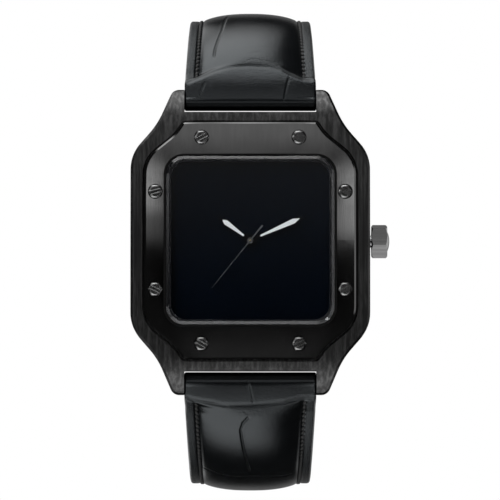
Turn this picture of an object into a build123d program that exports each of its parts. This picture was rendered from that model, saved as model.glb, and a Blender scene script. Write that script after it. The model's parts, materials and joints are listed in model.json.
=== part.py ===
from build123d import *
import os
from math import asin, ceil, cos, hypot, radians, sin, sqrt

# A square dress watch on a padded leather strap, in millimetres.
# It is drawn on a bench frame: +Z out of the dial, +Y to 12 o'clock, +X to the crown,
# with the origin on the wrist side of the case back. stand() turns each piece
# so that 12 o'clock is up (+Z) and the dial faces -Y.

# Shared clearances and cutting
overrun = 1.0
running_clearance = 0.04
glue_line = 0.12
seat_gap = 0.02

# Case and bezel outlines: what is not given here follows from the width of the case
case_width = 40.0
bezel_margin = 2.4
bezel_bar_width = 3.15
bezel_end_bar_width = 5.3
bezel_width = case_width - 2 * bezel_margin
window_width = bezel_width - 2 * bezel_bar_width
bezel_height = window_width + 2 * bezel_end_bar_width
bezel_top_inset = 6.5
bezel_top_width = bezel_width - 2 * bezel_top_inset
bezel_neck_inset = 5.21
bezel_neck_width = bezel_width - 2 * bezel_neck_inset
bezel_neck_drop = 1.92
bezel_neck_height = bezel_height - 2 * bezel_neck_drop
bezel_shoulder_drop = 6.13
bezel_shoulder_height = bezel_height - 2 * bezel_shoulder_drop
lug_reach = 5.85
case_length = bezel_height + 2 * lug_reach
side_rise = 0.81
side_height = bezel_shoulder_height + 2 * side_rise
waist_inset = 4.53
waist_width = case_width - 2 * waist_inset
waist_drop = 0.11
waist_height = bezel_height - 2 * waist_drop
lug_tip_thickness = 1.865
shoulder_radius = 6.5
waist_radius = 14.0
lug_tip_radius = 1.5
lug_gap = 22.15
lug_tip_width = lug_gap + 2 * lug_tip_thickness
end_wall_width = 1.9
end_wall_span = bezel_height + 2 * end_wall_width
rim_top = 7.9
rim_end_drop = 0.9
lug_top = 4.0
lug_floor = 0.5
lug_root_inset = 0.45
lug_root_span = bezel_height - 2 * lug_root_inset
case_chamfer = 0.4
edge_tolerance = 0.2
upward_share = 0.2

# Bezel
bezel_top_radius = 0.5
bezel_neck_radius = 7.0
bezel_shoulder_radius = 5.6
bezel_seat = 6.4
bezel_crest = 9.7
bezel_dome_radius = 150.0
bezel_gap = 0.26
recess_chamfer = 0.14
bezel_edge_chamfer = 0.28
window_radius = 3.4
rim_drop_limit = 1.12

# Bezel screws
head_across_flats = 2.06
head_height = 0.75
head_proud = 0.28
head_crown_radius = 0.87
head_chamfer_height = 0.16
head_well_radius = 1.25
slot_width = 0.5
slot_depth = 0.26
shank_radius = 0.5
shank_length = 2.6
end_screw_x = 8.12
end_screw_inset = 2.52
end_screw_y = bezel_height / 2 - end_screw_inset
side_screw_margin = 1.76
side_screw_x = bezel_width / 2 - side_screw_margin
side_screw_y = 8.15
end_slot_turns = (27, -30, -28, 28)
side_slot_turns = (15, -30, -25, 30)

# Crystal
crystal_top = 9.68
crystal_thickness = 1.45
crystal_bevel_width = 0.5
crystal_bevel_height = 0.45
crystal_flat_radius = 2.5
gasket_wall = 0.42
gasket_lip = 0.75
gasket_drop = 0.85

# Dial, flange ring and window through the case
dial_thickness = 0.4
dial_top = 6.15
dial_window_step = 0.3
dial_window_width = window_width - 2 * dial_window_step
dial_ring_wall = 0.45
dial_hole_radius = 0.95

# Case back
back_thickness = 1.2
back_margin = 4.2
back_width = case_width - 2 * back_margin
back_end_margin = 1.55
back_height = bezel_height - 2 * back_end_margin
back_corner_radius = 5.5
back_edge_chamfer = 0.4
back_plug_margin = 0.6
back_plug_height = 0.7
back_plug_radius = 3.0
back_gasket_height = 0.45
back_screw_margin = 3.2
back_screw_x = back_width / 2 - back_screw_margin
back_screw_end_margin = 1.65
back_screw_y = back_height / 2 - back_screw_end_margin
back_screw_head_radius = 0.85
back_screw_head_height = 0.6
back_screw_shank_radius = 0.5
back_screw_length = 3.0

# Cavity, holder and movement
dial_clearance = 0.1
cavity_step = 0.45
cavity_width = window_width + 2 * cavity_step
cavity_radius = 3.3
dial_width = cavity_width - 2 * dial_clearance
back_plug_width = cavity_width - 2 * back_plug_margin
movement_radius = 9.8
movement_back = 2.15
plate_back = 3.65
plate_front = 5.7
holder_clearance = 0.05
bridge_thickness = 0.4
bridge_lobe_radius = 1.3
bridge_pillar_radius = 0.6
bridge_pillars = ((5.9, -25), (5.0, 205))
arbor_radius = 0.14
pivot_depth = 0.5
bearing_clearance = 0.03

# Battery and its clamp
battery_radius = 2.9
battery_height = 2.1
battery_cap_radius = 2.32
battery_cap_height = 0.42
battery_x = -4.7
battery_y = 4.6
battery_back = 2.5
clamp_thickness = 0.25
clamp_width = 2.4
clamp_overhang = 0.6

# Gear train: leaves and teeth, with the pitch size of each mesh
rotor_leaves = 6
intermediate_teeth = 36
intermediate_leaves = 6
seconds_teeth = 30
seconds_leaves = 6
third_teeth = 45
third_leaves = 6
centre_teeth = 48
cannon_leaves = 8
minute_teeth = 24
minute_leaves = 6
hour_teeth = 24
rotor_module = 0.11
intermediate_module = 0.15
centre_module = 0.11
cannon_module = 0.15
tooth_addendum_share = 0.9
tooth_dedendum_share = 1.15
tooth_root_share = 0.29
tooth_tip_share = 0.12
wheel_thickness = 0.18
third_turn = 20
intermediate_turn = 250
rotor_turn = 230
minute_wheel_turn = -50
seconds_wheel_level = 2.66
third_wheel_level = 2.98
centre_wheel_level = 3.32
cannon_level = 5.0
hour_wheel_level = 5.3
magnet_radius = 0.75
magnet_height = 0.34

# Stator and coil
stator_thickness = 0.4
stator_hole_radius = 0.95
stator_ring_radius = 1.7
stator_foot_width = 1.5
coil_x = -0.4
coil_y = -7.2
coil_reach = 4.9
coil_length = 7.4
coil_radius = 1.05
coil_core_width = 0.9

# Circuit board and what is on it
board_thickness = 0.25
board_inner_radius = 5.9
board_outer_radius = 9.4
board_start_turn = 20
board_turn = 76
resonator_radius = 0.6
resonator_length = 3.6
resonator_turn_share = 0.72
chip_radius = 0.9
chip_turn_share = 0.33

# Setting parts, crown and stem
stem_level = 4.6
stem_radius = 0.45
stem_inner_end = 4.9
stem_groove_x = 7.2
stem_groove_width = 0.6
stem_groove_radius = 0.28
pull_travel = 1.2
lever_thickness = 0.25
lever_length = 2.4
lever_width = 3.4
lever_pin_radius = 0.24
lever_post_radius = 0.3
lever_post_offset = 1.1
tube_radius = 1.0
tube_bore = 0.55
tube_margin = 0.4
tube_proud = 0.95
tube_inner_end = cavity_width / 2 + tube_margin
tube_outer_end = case_width / 2 + tube_proud
crown_corner_radius = 2.95
crown_gap = 0.25
crown_length = 2.65
crown_chamfer_width = 0.46
crown_chamfer_height = 0.27
crown_turn = 44
crown_well_radius = 1.5
crown_well_depth = 1.1
crown_cap_radius = 1.75
crown_cap_seat = 0.3
crown_cap_rise = 0.38
crown_gasket_wall = 0.36
crown_gasket_height = 0.4

# Hands, at the time shown, turned clockwise from 12 o'clock
hour_angle = 306.5
minute_angle = 66
second_angle = 219
hand_thickness = 0.15
hour_hand_level = 6.75
minute_hand_level = 7.1
second_hand_level = 7.45
hour_length = 7.0
minute_length = 10.4
hour_inlay_start = 1.35
hour_inlay_end = 5.8
minute_inlay_start = 1.85
minute_inlay_end = 9.06
inlay_root_width = 0.28
inlay_width = 0.83
inlay_widest_share = 0.84
hand_border = 0.15
hour_hub_radius = 1.05
minute_hub_radius = 0.8
second_hub_radius = 0.5
second_hub_height = 0.22
second_length = 10.2
second_tail = 3.2
second_width = 0.2
second_tip_width = 0.1
second_tail_width = 0.3
hour_tube_radius = 0.75
minute_tube_radius = 0.45
second_arbor_radius = 0.13
second_arbor_proud = 0.3

# Spring bars
bar_wall_distance = 2.05
bar_y = end_wall_span / 2 + bar_wall_distance
bar_level = 2.4
bar_tube_radius = 0.75
bar_bore_radius = 0.42
bar_end_clearance = 0.22
pin_rod_radius = 0.36
pin_rod_length = 2.6
pin_collar_radius = 0.6
pin_collar_width = 0.6
pin_collar_gap = 0.1
pin_tip_radius = 0.4
pin_tip_length = 1.0
pin_travel = 1.1

# Strap halves
strap_side_clearance = 0.125
strap_taper = 3.9
strap_root_width = lug_gap - 2 * strap_side_clearance
strap_end_width = strap_root_width - strap_taper
strap_loop_radius = 1.9
strap_bore_clearance = 0.08
strap_start_slope = -15
short_bend_radius = 19.8
long_bend_radius = 21.15
strap_bend_turn = 75
leather_thickness = 0.9
lining_thickness = 1.2
strap_edge_height = 1.1
strap_crown_height = 3.0
strap_form_run = 26.0
strap_end_height = 1.25
strap_margin = 2.2
lining_setback = 2.4
padding_setback = 3.6
short_hollow_radius = 130.0
short_hollow_turn = 9
short_straight = 28.0
long_hollow_radius = 210.0
long_hollow_turn = 13.6
long_straight = 38.0
strap_tip_radius = 10.5
hole_radius = 0.9
hole_count = 7
hole_spacing = 6.5
first_hole = 20.0

# Keepers
keeper_band = 5.0
keeper_wall = 1.1
keeper_side_clearance = 0.4
keeper_corner_radius = 0.3
keeper_under_clearance = 0.15
keeper_room = 2.6
fixed_keeper_distance = 6.5
free_keeper_distance = 16.5

# Buckle
buckle_loop_radius = 1.6
buckle_side_clearance = 0.25
buckle_arm_width = 1.9
buckle_inner_width = strap_end_width + 2 * buckle_side_clearance
buckle_outer_width = buckle_inner_width + 2 * buckle_arm_width
buckle_reach = 10.4
buckle_bar_depth = 2.2
buckle_thickness = 2.0
buckle_heel = 1.5
buckle_corner_radius = 2.4
buckle_edge_fillet = 0.45
fillet_margin = 0.1
tongue_width = 2.0
tongue_thickness = 0.9
tongue_overhang = 0.7
tongue_slot_width = 2.8
tongue_slot_reach = 4.2
tongue_seat_gap = 0.08
tongue_bend_share = 0.3
tongue_taper_share = 0.75
tongue_tip_share = 0.5
tongue_eye_share = 0.6


def stand(piece):
    """Turns a piece from the bench frame to the standing frame, 12 o'clock up."""
    return Rot(90, 0, 0) * piece


def save(name, *pieces):
    """Writes one named node, of one or more separate solids."""
    solids = [solid for piece in pieces for solid in stand(piece).solids()]
    shape = solids[0] if len(solids) == 1 else Compound(children=solids)
    shape.label = name
    export_step(shape, os.path.join("parts", name + ".step"))


def mirrored_outline(quarter, radii):
    """A closed face from the points of its upper right quarter, with a radius at each."""
    back = list(reversed(quarter))
    back_radii = list(reversed(radii))
    points = quarter + [(-x, y) for x, y in back]
    points += [(-x, -y) for x, y in quarter] + [(x, -y) for x, y in back]
    path = FilletPolyline(*points, radius=radii + back_radii + radii + back_radii, close=True)
    return make_face(path)


def rounded_plate(width, height, radius, bottom, top):
    """A plate with rounded corners between two levels."""
    return Pos(0, 0, bottom) * extrude(RectangleRounded(width, height, radius), top - bottom)


def disc(radius, bottom, top, x=0, y=0):
    """A round plate or pin between two levels."""
    return Pos(x, y, bottom) * extrude(Circle(radius), top - bottom)


def ring(outer, inner, bottom, top, x=0, y=0):
    """A round ring between two levels."""
    return disc(outer, bottom, top, x, y) - disc(inner, bottom - overrun, top + overrun, x, y)


def rod(radius, start, end, y=0, z=0):
    """A round rod along X between two places."""
    return Pos(start, y, z) * Rot(0, 90, 0) * extrude(Circle(radius), end - start)


def slab(x_span, y_span, z_span):
    """A block given by its low and high place on each axis."""
    size = [high - low for low, high in (x_span, y_span, z_span)]
    middle = [(high + low) / 2 for low, high in (x_span, y_span, z_span)]
    return Pos(*middle) * Box(*size)


# Outline of the case: straight sides, drawn-in waists and lugs that lean inwards
case_quarter = [
    (case_width / 2, side_height / 2),
    (waist_width / 2, waist_height / 2),
    (lug_tip_width / 2, case_length / 2),
]
case_radii = [shoulder_radius, waist_radius, lug_tip_radius]

# Outline of the bezel: a flat head, a small neck and a round shoulder
bezel_quarter = [
    (bezel_width / 2, bezel_shoulder_height / 2),
    (bezel_neck_width / 2, bezel_neck_height / 2),
    (bezel_top_width / 2, bezel_height / 2),
]
bezel_radii = [bezel_shoulder_radius, bezel_neck_radius, bezel_top_radius]


def dome_level(x, y):
    """Height of the domed bezel top at a place."""
    return bezel_crest - bezel_dome_radius + sqrt(bezel_dome_radius**2 - x**2 - y**2)


screw_places = [
    (x * end_screw_x, y * end_screw_y, turn)
    for (x, y), turn in zip(((-1, 1), (1, 1), (-1, -1), (1, -1)), end_slot_turns)
]
screw_places += [
    (x * side_screw_x, y * side_screw_y, turn)
    for (x, y), turn in zip(((-1, 1), (1, 1), (-1, -1), (1, -1)), side_slot_turns)
]
back_screw_places = [(x * back_screw_x, y * back_screw_y) for x in (-1, 1) for y in (-1, 1)]


def case_body():
    """The case in one piece with its lugs: arched top, hollow middle, holes for every screw."""
    outline = mirrored_outline(case_quarter, case_radii)
    prism = extrude(outline, rim_top + overrun)
    half_length = case_length / 2
    lug_root = lug_root_span / 2
    rim_radius = (lug_root**2 + rim_end_drop**2) / (2 * rim_end_drop)
    crest = (0, rim_top)
    rim_end = (lug_root, rim_top - rim_end_drop)
    top = RadiusArc(crest, rim_end, rim_radius)
    lug = TangentArc(rim_end, (half_length, lug_top), tangent=top % 1)
    half_side = [
        top,
        lug,
        Line((half_length, lug_top), (half_length, lug_floor)),
        Line((half_length, lug_floor), (lug_root, back_thickness)),
        Line((lug_root, back_thickness), (0, back_thickness)),
        Line((0, back_thickness), crest),
    ]
    half = extrude(Plane.YZ * make_face(half_side), case_width, both=True)
    body = prism & (half + mirror(half, about=Plane.XZ))
    outer = body.faces().filter_by(lambda f: abs(f.normal_at().Z) > upward_share and f.center().Z > lug_top)
    crest_edges = [e for f in outer for e in f.edges() if is_rim_edge(e)]
    body = chamfer(crest_edges, case_chamfer)
    reach = case_length / 2 + overrun
    for side in (-1, 1):
        ends = sorted((side * end_wall_span / 2, side * reach))
        body -= slab((-lug_gap / 2, lug_gap / 2), ends, (-overrun, rim_top + overrun))
    recess = offset(mirrored_outline(bezel_quarter, bezel_radii), bezel_gap)
    body -= Pos(0, 0, bezel_seat) * extrude(recess, rim_top)
    body = chamfer(recess_rim(body), recess_chamfer)
    body -= rounded_plate(cavity_width, cavity_width, cavity_radius, 0, dial_top)
    body -= rounded_plate(
        dial_window_width, dial_window_width, window_radius, 0, bezel_seat + overrun
    )
    for x, y, _ in screw_places:
        depth = dome_level(x, y) + head_proud - head_height - shank_length
        body -= disc(shank_radius + seat_gap, depth - seat_gap, bezel_seat + overrun, x, y)
    for x, y in back_screw_places:
        body -= disc(
            back_screw_shank_radius + seat_gap, 0, back_screw_length + seat_gap, x, y
        )
    body -= rod(tube_radius, cavity_width / 2 - overrun, case_width / 2 + overrun, z=stem_level)
    for side in (-1, 1):
        tips = lug_gap / 2 + pin_tip_length + seat_gap
        hole = pin_tip_radius + running_clearance
        body -= rod(hole, -tips, tips, side * bar_y, bar_level)
    return body


def recess_rim(body):
    """The edges where the recess for the bezel meets the arched top."""
    low = bezel_seat + edge_tolerance
    walls = body.faces().filter_by(lambda f: is_recess_wall(f))
    return [e for f in walls for e in f.edges() if (e @ 0.5).Z > low and (e @ 0).Z > low]


def is_recess_wall(face):
    """True for an upright face that stands on the bezel's seat."""
    box = face.bounding_box()
    upright = abs(face.normal_at().Z) < edge_tolerance
    inside = max(abs(box.max.Y), abs(box.min.Y)) < bezel_height / 2 + bezel_gap + edge_tolerance
    return upright and inside and abs(box.min.Z - bezel_seat) < edge_tolerance


def is_rim_edge(edge):
    """True for an edge of the top that follows the outline of the case."""
    middle = edge @ 0.5
    start = edge @ 0
    end = edge @ 1
    across = abs(middle.X) < edge_tolerance or abs(start.Y - end.Y) < edge_tolerance
    return not (across and abs(middle.Y) < case_length / 2 - edge_tolerance)


def bezel():
    """The polished bezel: a domed plate with the notched outline and the square window."""
    outline = mirrored_outline(bezel_quarter, bezel_radii)
    plate = Pos(0, 0, bezel_seat) * extrude(outline, bezel_crest - bezel_seat + overrun)
    dome = Pos(0, 0, bezel_crest - bezel_dome_radius) * Sphere(bezel_dome_radius)
    body = plate & dome
    rim = body.edges().filter_by(lambda e: (e @ 0.5).Z > bezel_seat + bezel_edge_chamfer)
    rim = rim.filter_by(lambda e: abs((e @ 0).Z - (e @ 1).Z) < rim_drop_limit)
    body = chamfer(rim.filter_by(lambda e: e.length > bezel_edge_chamfer), bezel_edge_chamfer)
    window = rounded_plate(
        window_width, window_width, window_radius, bezel_seat - overrun, bezel_crest + overrun
    )
    body -= window
    for x, y, _ in screw_places:
        top = dome_level(x, y) + head_proud
        body -= disc(head_well_radius, top - head_height, bezel_crest + overrun, x, y)
        body -= disc(shank_radius + seat_gap, bezel_seat - overrun, bezel_crest, x, y)
    return body


def slotted_hex_screw(x, y, turn):
    """A hexagon screw with a turned crown on its head and a slot across it."""
    top = dome_level(x, y) + head_proud
    corner = head_across_flats / sqrt(3)
    head = Pos(0, 0, top - head_height) * extrude(
        RegularPolygon(corner, 6), head_height
    )
    crown = make_face(
        Polyline(
            (0, top - head_height),
            (corner, top - head_height),
            (corner, top - head_chamfer_height),
            (head_crown_radius, top),
            (0, top),
            close=True,
        )
    )
    head &= revolve(Plane.XZ * crown, Axis.Z)
    slot = slab(
        (-corner, corner),
        (-slot_width / 2, slot_width / 2),
        (top - slot_depth, top + overrun),
    )
    head -= Rot(0, 0, turn) * slot
    shank = disc(shank_radius, top - head_height - shank_length, top - head_height)
    return Pos(x, y, 0) * (head + shank)


def crystal():
    """The flat mineral crystal with its bevelled rim."""
    width = window_width - 2 * gasket_wall
    radius = window_radius - gasket_wall
    bottom = crystal_top - crystal_thickness
    shoulder = crystal_top - crystal_bevel_height
    body = rounded_plate(width, width, radius, bottom, shoulder)
    lower = Pos(0, 0, shoulder) * RectangleRounded(width, width, radius)
    top_width = width - 2 * crystal_bevel_width
    upper = Pos(0, 0, crystal_top) * RectangleRounded(top_width, top_width, crystal_flat_radius)
    return body + loft([lower, upper], ruled=True)


def crystal_gasket():
    """The nylon ring between crystal and bezel, with a lip under the crystal."""
    bottom = crystal_top - crystal_thickness
    width = window_width - 2 * seat_gap
    wall = rounded_plate(
        width, width, window_radius - seat_gap, bezel_seat, crystal_top - gasket_drop
    )
    hollow = window_width - 2 * gasket_wall
    wall -= rounded_plate(hollow, hollow, window_radius - gasket_wall, bottom, crystal_top)
    bore = window_width - 2 * gasket_lip
    return wall - rounded_plate(bore, bore, window_radius - gasket_lip, 0, crystal_top)


def dial():
    """The blank glossy dial plate with its centre hole."""
    plate = rounded_plate(dial_width, dial_width, window_radius, dial_top - dial_thickness, dial_top)
    return plate - disc(dial_hole_radius, 0, dial_top + overrun)


def dial_ring():
    """The flange ring that stands on the dial and carries the gasket and crystal."""
    foot = dial_window_width - 2 * running_clearance
    neck = window_width - 2 * gasket_lip - 2 * running_clearance
    bore = neck - 2 * dial_ring_wall
    neck_radius = window_radius - gasket_lip
    top = crystal_top - crystal_thickness - seat_gap
    body = rounded_plate(foot, foot, window_radius, dial_top, bezel_seat)
    body += rounded_plate(neck, neck, neck_radius, dial_top, top)
    return body - rounded_plate(bore, bore, neck_radius, 0, crystal_top)


def case_back():
    """The back plate with countersunk screw seats and a plug that centres it."""
    plate = rounded_plate(back_width, back_height, back_corner_radius, 0, back_thickness)
    plate = chamfer(plate.faces().sort_by(Axis.Z)[0].edges(), back_edge_chamfer)
    plate += rounded_plate(
        back_plug_width, back_plug_width, back_plug_radius,
        back_thickness, back_thickness + back_plug_height,
    )
    for x, y in back_screw_places:
        head = back_screw_head_radius + running_clearance
        plate -= disc(head, -overrun, back_screw_head_height + seat_gap, x, y)
        plate -= disc(back_screw_shank_radius + seat_gap, 0, back_thickness + overrun, x, y)
    return plate


def case_back_gasket():
    """The rubber seal round the plug of the case back."""
    outer = cavity_width - 2 * running_clearance
    inner = back_plug_width + 2 * running_clearance
    top = back_thickness + back_gasket_height
    body = rounded_plate(outer, outer, cavity_radius, back_thickness, top)
    return body - rounded_plate(inner, inner, back_plug_radius, 0, top + overrun)


def case_back_screw(x, y):
    """A flat slotted screw, flush with the case back."""
    sunk = seat_gap
    screw = disc(back_screw_head_radius, sunk, back_screw_head_height)
    screw += disc(back_screw_shank_radius, back_screw_head_height, back_screw_length)
    slot = slab(
        (-back_screw_head_radius, back_screw_head_radius),
        (-slot_width / 2, slot_width / 2),
        (-overrun, slot_depth),
    )
    return Pos(x, y, 0) * (screw - slot)


# Places of the wheels, from the pitch sizes of their meshes
third_distance = centre_module * (centre_teeth + third_leaves) / 2
third_module = 2 * third_distance / (third_teeth + seconds_leaves)
intermediate_distance = intermediate_module * (seconds_teeth + intermediate_leaves) / 2
rotor_distance = rotor_module * (intermediate_teeth + rotor_leaves) / 2
motion_distance = cannon_module * (minute_teeth + cannon_leaves) / 2
hour_module = 2 * motion_distance / (hour_teeth + minute_leaves)


def polar(distance, turn, start=(0, 0)):
    """A place at a distance and a direction from another."""
    return (
        start[0] + distance * cos(radians(turn)),
        start[1] + distance * sin(radians(turn)),
    )


third_place = polar(third_distance, third_turn)
intermediate_place = polar(intermediate_distance, intermediate_turn)
rotor_place = polar(rotor_distance, rotor_turn, intermediate_place)
minute_wheel_place = polar(motion_distance, minute_wheel_turn)


def meshed(own_turn, teeth, direction, other_teeth):
    """Turn of a second wheel, so that one of its gaps meets the first wheel's tooth."""
    return direction + 180 + 180 / other_teeth - (own_turn - direction) * teeth / other_teeth


third_pinion_phase = meshed(0, centre_teeth, third_turn, third_leaves)
seconds_pinion_phase = meshed(0, third_teeth, third_turn + 180, seconds_leaves)
intermediate_pinion_phase = meshed(0, seconds_teeth, intermediate_turn, intermediate_leaves)
rotor_pinion_phase = meshed(0, intermediate_teeth, rotor_turn, rotor_leaves)
minute_wheel_phase = meshed(0, cannon_leaves, minute_wheel_turn, minute_teeth)
hour_wheel_phase = meshed(0, minute_leaves, minute_wheel_turn + 180, hour_teeth)


def gear(teeth, module, bottom, thickness, phase=0, place=(0, 0)):
    """A toothed disc: each tooth narrows from its root to its tip."""
    pitch_radius = module * teeth / 2
    root = pitch_radius - module * tooth_dedendum_share
    tip = pitch_radius + module * tooth_addendum_share
    corners = (
        (-tooth_root_share, root),
        (-tooth_tip_share, tip),
        (tooth_tip_share, tip),
        (tooth_root_share, root),
    )
    points = [
        polar(radius, phase + 360 * (tooth + share) / teeth)
        for tooth in range(teeth)
        for share, radius in corners
    ]
    face = make_face(Polyline(*points, close=True))
    return Pos(*place, bottom) * extrude(face, thickness)


def arbor(place, bottom, top):
    """A thin wheel arbor between its two bearings."""
    return disc(arbor_radius, bottom, top, *place)


arbor_foot = movement_back + seat_gap
arbor_head = plate_back + pivot_depth


def rotor():
    """The rotor: magnet disc, pinion and arbor."""
    body = gear(
        rotor_leaves, rotor_module, third_wheel_level, wheel_thickness,
        rotor_pinion_phase, rotor_place,
    )
    magnet_bottom = third_wheel_level + wheel_thickness
    body += disc(magnet_radius, magnet_bottom, magnet_bottom + magnet_height, *rotor_place)
    return body + arbor(rotor_place, arbor_foot, arbor_head)


def intermediate_wheel():
    """Wheel driven by the rotor pinion, whose own pinion drives the seconds wheel."""
    body = gear(
        intermediate_teeth, rotor_module, third_wheel_level, wheel_thickness,
        0, intermediate_place,
    )
    body += gear(
        intermediate_leaves, intermediate_module, seconds_wheel_level,
        third_wheel_level - seconds_wheel_level, intermediate_pinion_phase, intermediate_place,
    )
    return body + arbor(intermediate_place, arbor_foot, arbor_head)


def seconds_wheel():
    """Wheel on the long centre arbor that carries the second hand."""
    body = gear(seconds_teeth, intermediate_module, seconds_wheel_level, wheel_thickness)
    pinion_bottom = seconds_wheel_level + wheel_thickness
    body += gear(
        seconds_leaves, third_module, pinion_bottom,
        third_wheel_level + wheel_thickness - pinion_bottom, seconds_pinion_phase,
    )
    return body + disc(second_arbor_radius, arbor_foot, second_hand_level + second_arbor_proud)


def third_wheel():
    """Wheel between the seconds pinion and the centre wheel."""
    body = gear(third_teeth, third_module, third_wheel_level, wheel_thickness, 0, third_place)
    body += gear(
        third_leaves, centre_module, third_wheel_level + wheel_thickness,
        centre_wheel_level - third_wheel_level, third_pinion_phase, third_place,
    )
    return body + arbor(third_place, arbor_foot, arbor_head)


def centre_wheel():
    """Centre wheel and its tube, with the cannon pinion that drives the minute wheel."""
    body = gear(centre_teeth, centre_module, centre_wheel_level, wheel_thickness)
    body += gear(cannon_leaves, cannon_module, cannon_level, wheel_thickness)
    body += disc(minute_tube_radius, centre_wheel_level, minute_hand_level)
    bore = second_arbor_radius + running_clearance
    return body - disc(bore, centre_wheel_level - overrun, minute_hand_level + overrun)


def minute_wheel():
    """Wheel driven by the cannon pinion, whose pinion drives the hour wheel."""
    body = gear(
        minute_teeth, cannon_module, cannon_level, wheel_thickness,
        minute_wheel_phase, minute_wheel_place,
    )
    body += gear(
        minute_leaves, hour_module, cannon_level + wheel_thickness,
        hour_wheel_level - cannon_level, 0, minute_wheel_place,
    )
    bore = arbor_radius + bearing_clearance
    return body - disc(bore, 0, plate_front + overrun, *minute_wheel_place)


def hour_wheel():
    """Hour wheel with the tube that carries the hour hand."""
    body = gear(hour_teeth, hour_module, hour_wheel_level, wheel_thickness, hour_wheel_phase)
    body += disc(hour_tube_radius, hour_wheel_level, hour_hand_level)
    bore = minute_tube_radius + running_clearance
    return body - disc(bore, 0, hour_hand_level + overrun)


motion_floor = cannon_level - running_clearance * 2
wheel_places = (third_place, intermediate_place, rotor_place)


def main_plate():
    """The main plate: wells for the motion works and battery, bearings, stem bore."""
    body = disc(movement_radius, plate_back, plate_front)
    hour_well = hour_module * hour_teeth / 2 + hour_module + running_clearance * 3
    minute_well = cannon_module * minute_teeth / 2 + cannon_module + running_clearance * 3
    body -= disc(hour_well, motion_floor, plate_front + overrun)
    body -= disc(minute_well, motion_floor, plate_front + overrun, *minute_wheel_place)
    body -= disc(minute_tube_radius + running_clearance, 0, plate_front)
    body -= disc(
        battery_radius + bearing_clearance, 0, battery_back + battery_height + seat_gap,
        battery_x, battery_y,
    )
    magnet_top = third_wheel_level + wheel_thickness + magnet_height
    body -= disc(stator_hole_radius, 0, magnet_top + running_clearance * 2, *rotor_place)
    for place in wheel_places:
        body -= disc(arbor_radius + bearing_clearance, 0, arbor_head + seat_gap, *place)
    post = disc(arbor_radius, motion_floor, hour_wheel_level + wheel_thickness, *minute_wheel_place)
    body += post
    bore = stem_radius + holder_clearance
    body -= rod(bore, stem_inner_end - seat_gap, movement_radius + overrun, z=stem_level)
    pin_room = lever_pin_radius + running_clearance
    well_end = stem_groove_x + lever_length / 2 + pull_travel + seat_gap
    well = slab(
        (stem_groove_x - lever_length / 2 - seat_gap, well_end),
        (-lever_width / 2 - seat_gap, lever_width / 2 + seat_gap),
        (0, plate_back + lever_thickness + seat_gap),
    )
    body -= well
    body -= slab(
        (stem_groove_x - pin_room, stem_groove_x + pull_travel + pin_room),
        (-pin_room, pin_room),
        (0, stem_level),
    )
    for side in (-1, 1):
        body += disc(
            lever_post_radius, plate_back, plate_back + lever_thickness * 2,
            stem_groove_x, side * lever_post_offset,
        )
    foot = coil_core_width / 2 + stator_foot_width
    body -= slab(
        (coil_x - coil_reach - seat_gap, coil_x + coil_reach + seat_gap),
        (coil_y - foot, coil_y + coil_radius + bearing_clearance),
        (0, plate_back + stator_foot_width),
    )
    return body


def train_bridge():
    """The bridge over the train, on the battery side of the movement."""
    pillars = [polar(distance, turn) for distance, turn in bridge_pillars]
    lobes = pillars + [third_place, intermediate_place, rotor_place]
    outline = make_hull([
        edge
        for x, y in lobes
        for edge in (Pos(x, y) * Circle(bridge_lobe_radius)).edges()
    ])
    body = Pos(0, 0, movement_back) * extrude(outline, bridge_thickness)
    for x, y in pillars:
        body += disc(bridge_pillar_radius, movement_back, plate_back, x, y)
    for place in wheel_places + ((0, 0),):
        body -= disc(arbor_radius + bearing_clearance, 0, plate_back, *place)
    return body


def stator():
    """The stator plate: a ring round the rotor and two arms down to the coil core."""
    level = third_wheel_level + wheel_thickness + running_clearance
    rotor_x, rotor_y = rotor_place
    left = coil_x - coil_reach
    right = coil_x + coil_reach
    arm_top = coil_y + coil_radius + stator_foot_width
    inner = coil_y + coil_radius + bearing_clearance * 2
    outline = Polyline(
        (left, coil_y - coil_core_width / 2),
        (left, arm_top - stator_foot_width / 2),
        (rotor_x - stator_ring_radius, rotor_y),
        (rotor_x + stator_ring_radius, rotor_y),
        (right, arm_top - stator_foot_width / 2),
        (right, coil_y - coil_core_width / 2),
        (right - stator_foot_width / 2, coil_y - coil_core_width / 2),
        (right - stator_foot_width / 2, inner),
        (left + stator_foot_width / 2, inner),
        (left + stator_foot_width / 2, coil_y - coil_core_width / 2),
        close=True,
    )
    body = extrude(make_face(outline), stator_thickness)
    body += extrude(Pos(rotor_x, rotor_y) * Circle(stator_ring_radius), stator_thickness)
    body -= extrude(Pos(rotor_x, rotor_y) * Circle(stator_hole_radius), stator_thickness)
    return Pos(0, 0, level) * body


def coil_core():
    """The iron core through the coil, with flat ends on the stator arms."""
    stator_top = third_wheel_level + wheel_thickness + running_clearance + stator_thickness
    return slab(
        (coil_x - coil_reach, coil_x + coil_reach),
        (coil_y - coil_core_width / 2, coil_y + coil_core_width / 2),
        (stator_top, stator_top + coil_core_width),
    )


def coil_winding():
    """The copper winding on the core, as one sleeve."""
    stator_top = third_wheel_level + wheel_thickness + running_clearance + stator_thickness
    level = stator_top + coil_core_width / 2
    half = coil_length / 2
    body = rod(coil_radius, coil_x - half, coil_x + half, coil_y, level)
    return body - coil_core()


def circuit_board():
    """The curved circuit board on the back of the plate, with its chip."""
    reach = board_outer_radius * 2
    rays = [polar(reach, board_start_turn + board_turn * k / 2) for k in range(3)]
    pie = make_face(Polyline((0, 0), *rays, close=True))
    level = plate_back - board_thickness
    body = ring(board_outer_radius, board_inner_radius, level, plate_back)
    body &= extrude(pie, plate_front)
    chip_turn = board_start_turn + board_turn * chip_turn_share
    x, y = polar((board_inner_radius + board_outer_radius) / 2, chip_turn)
    return body + disc(chip_radius, level - board_thickness, level, x, y)


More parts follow.
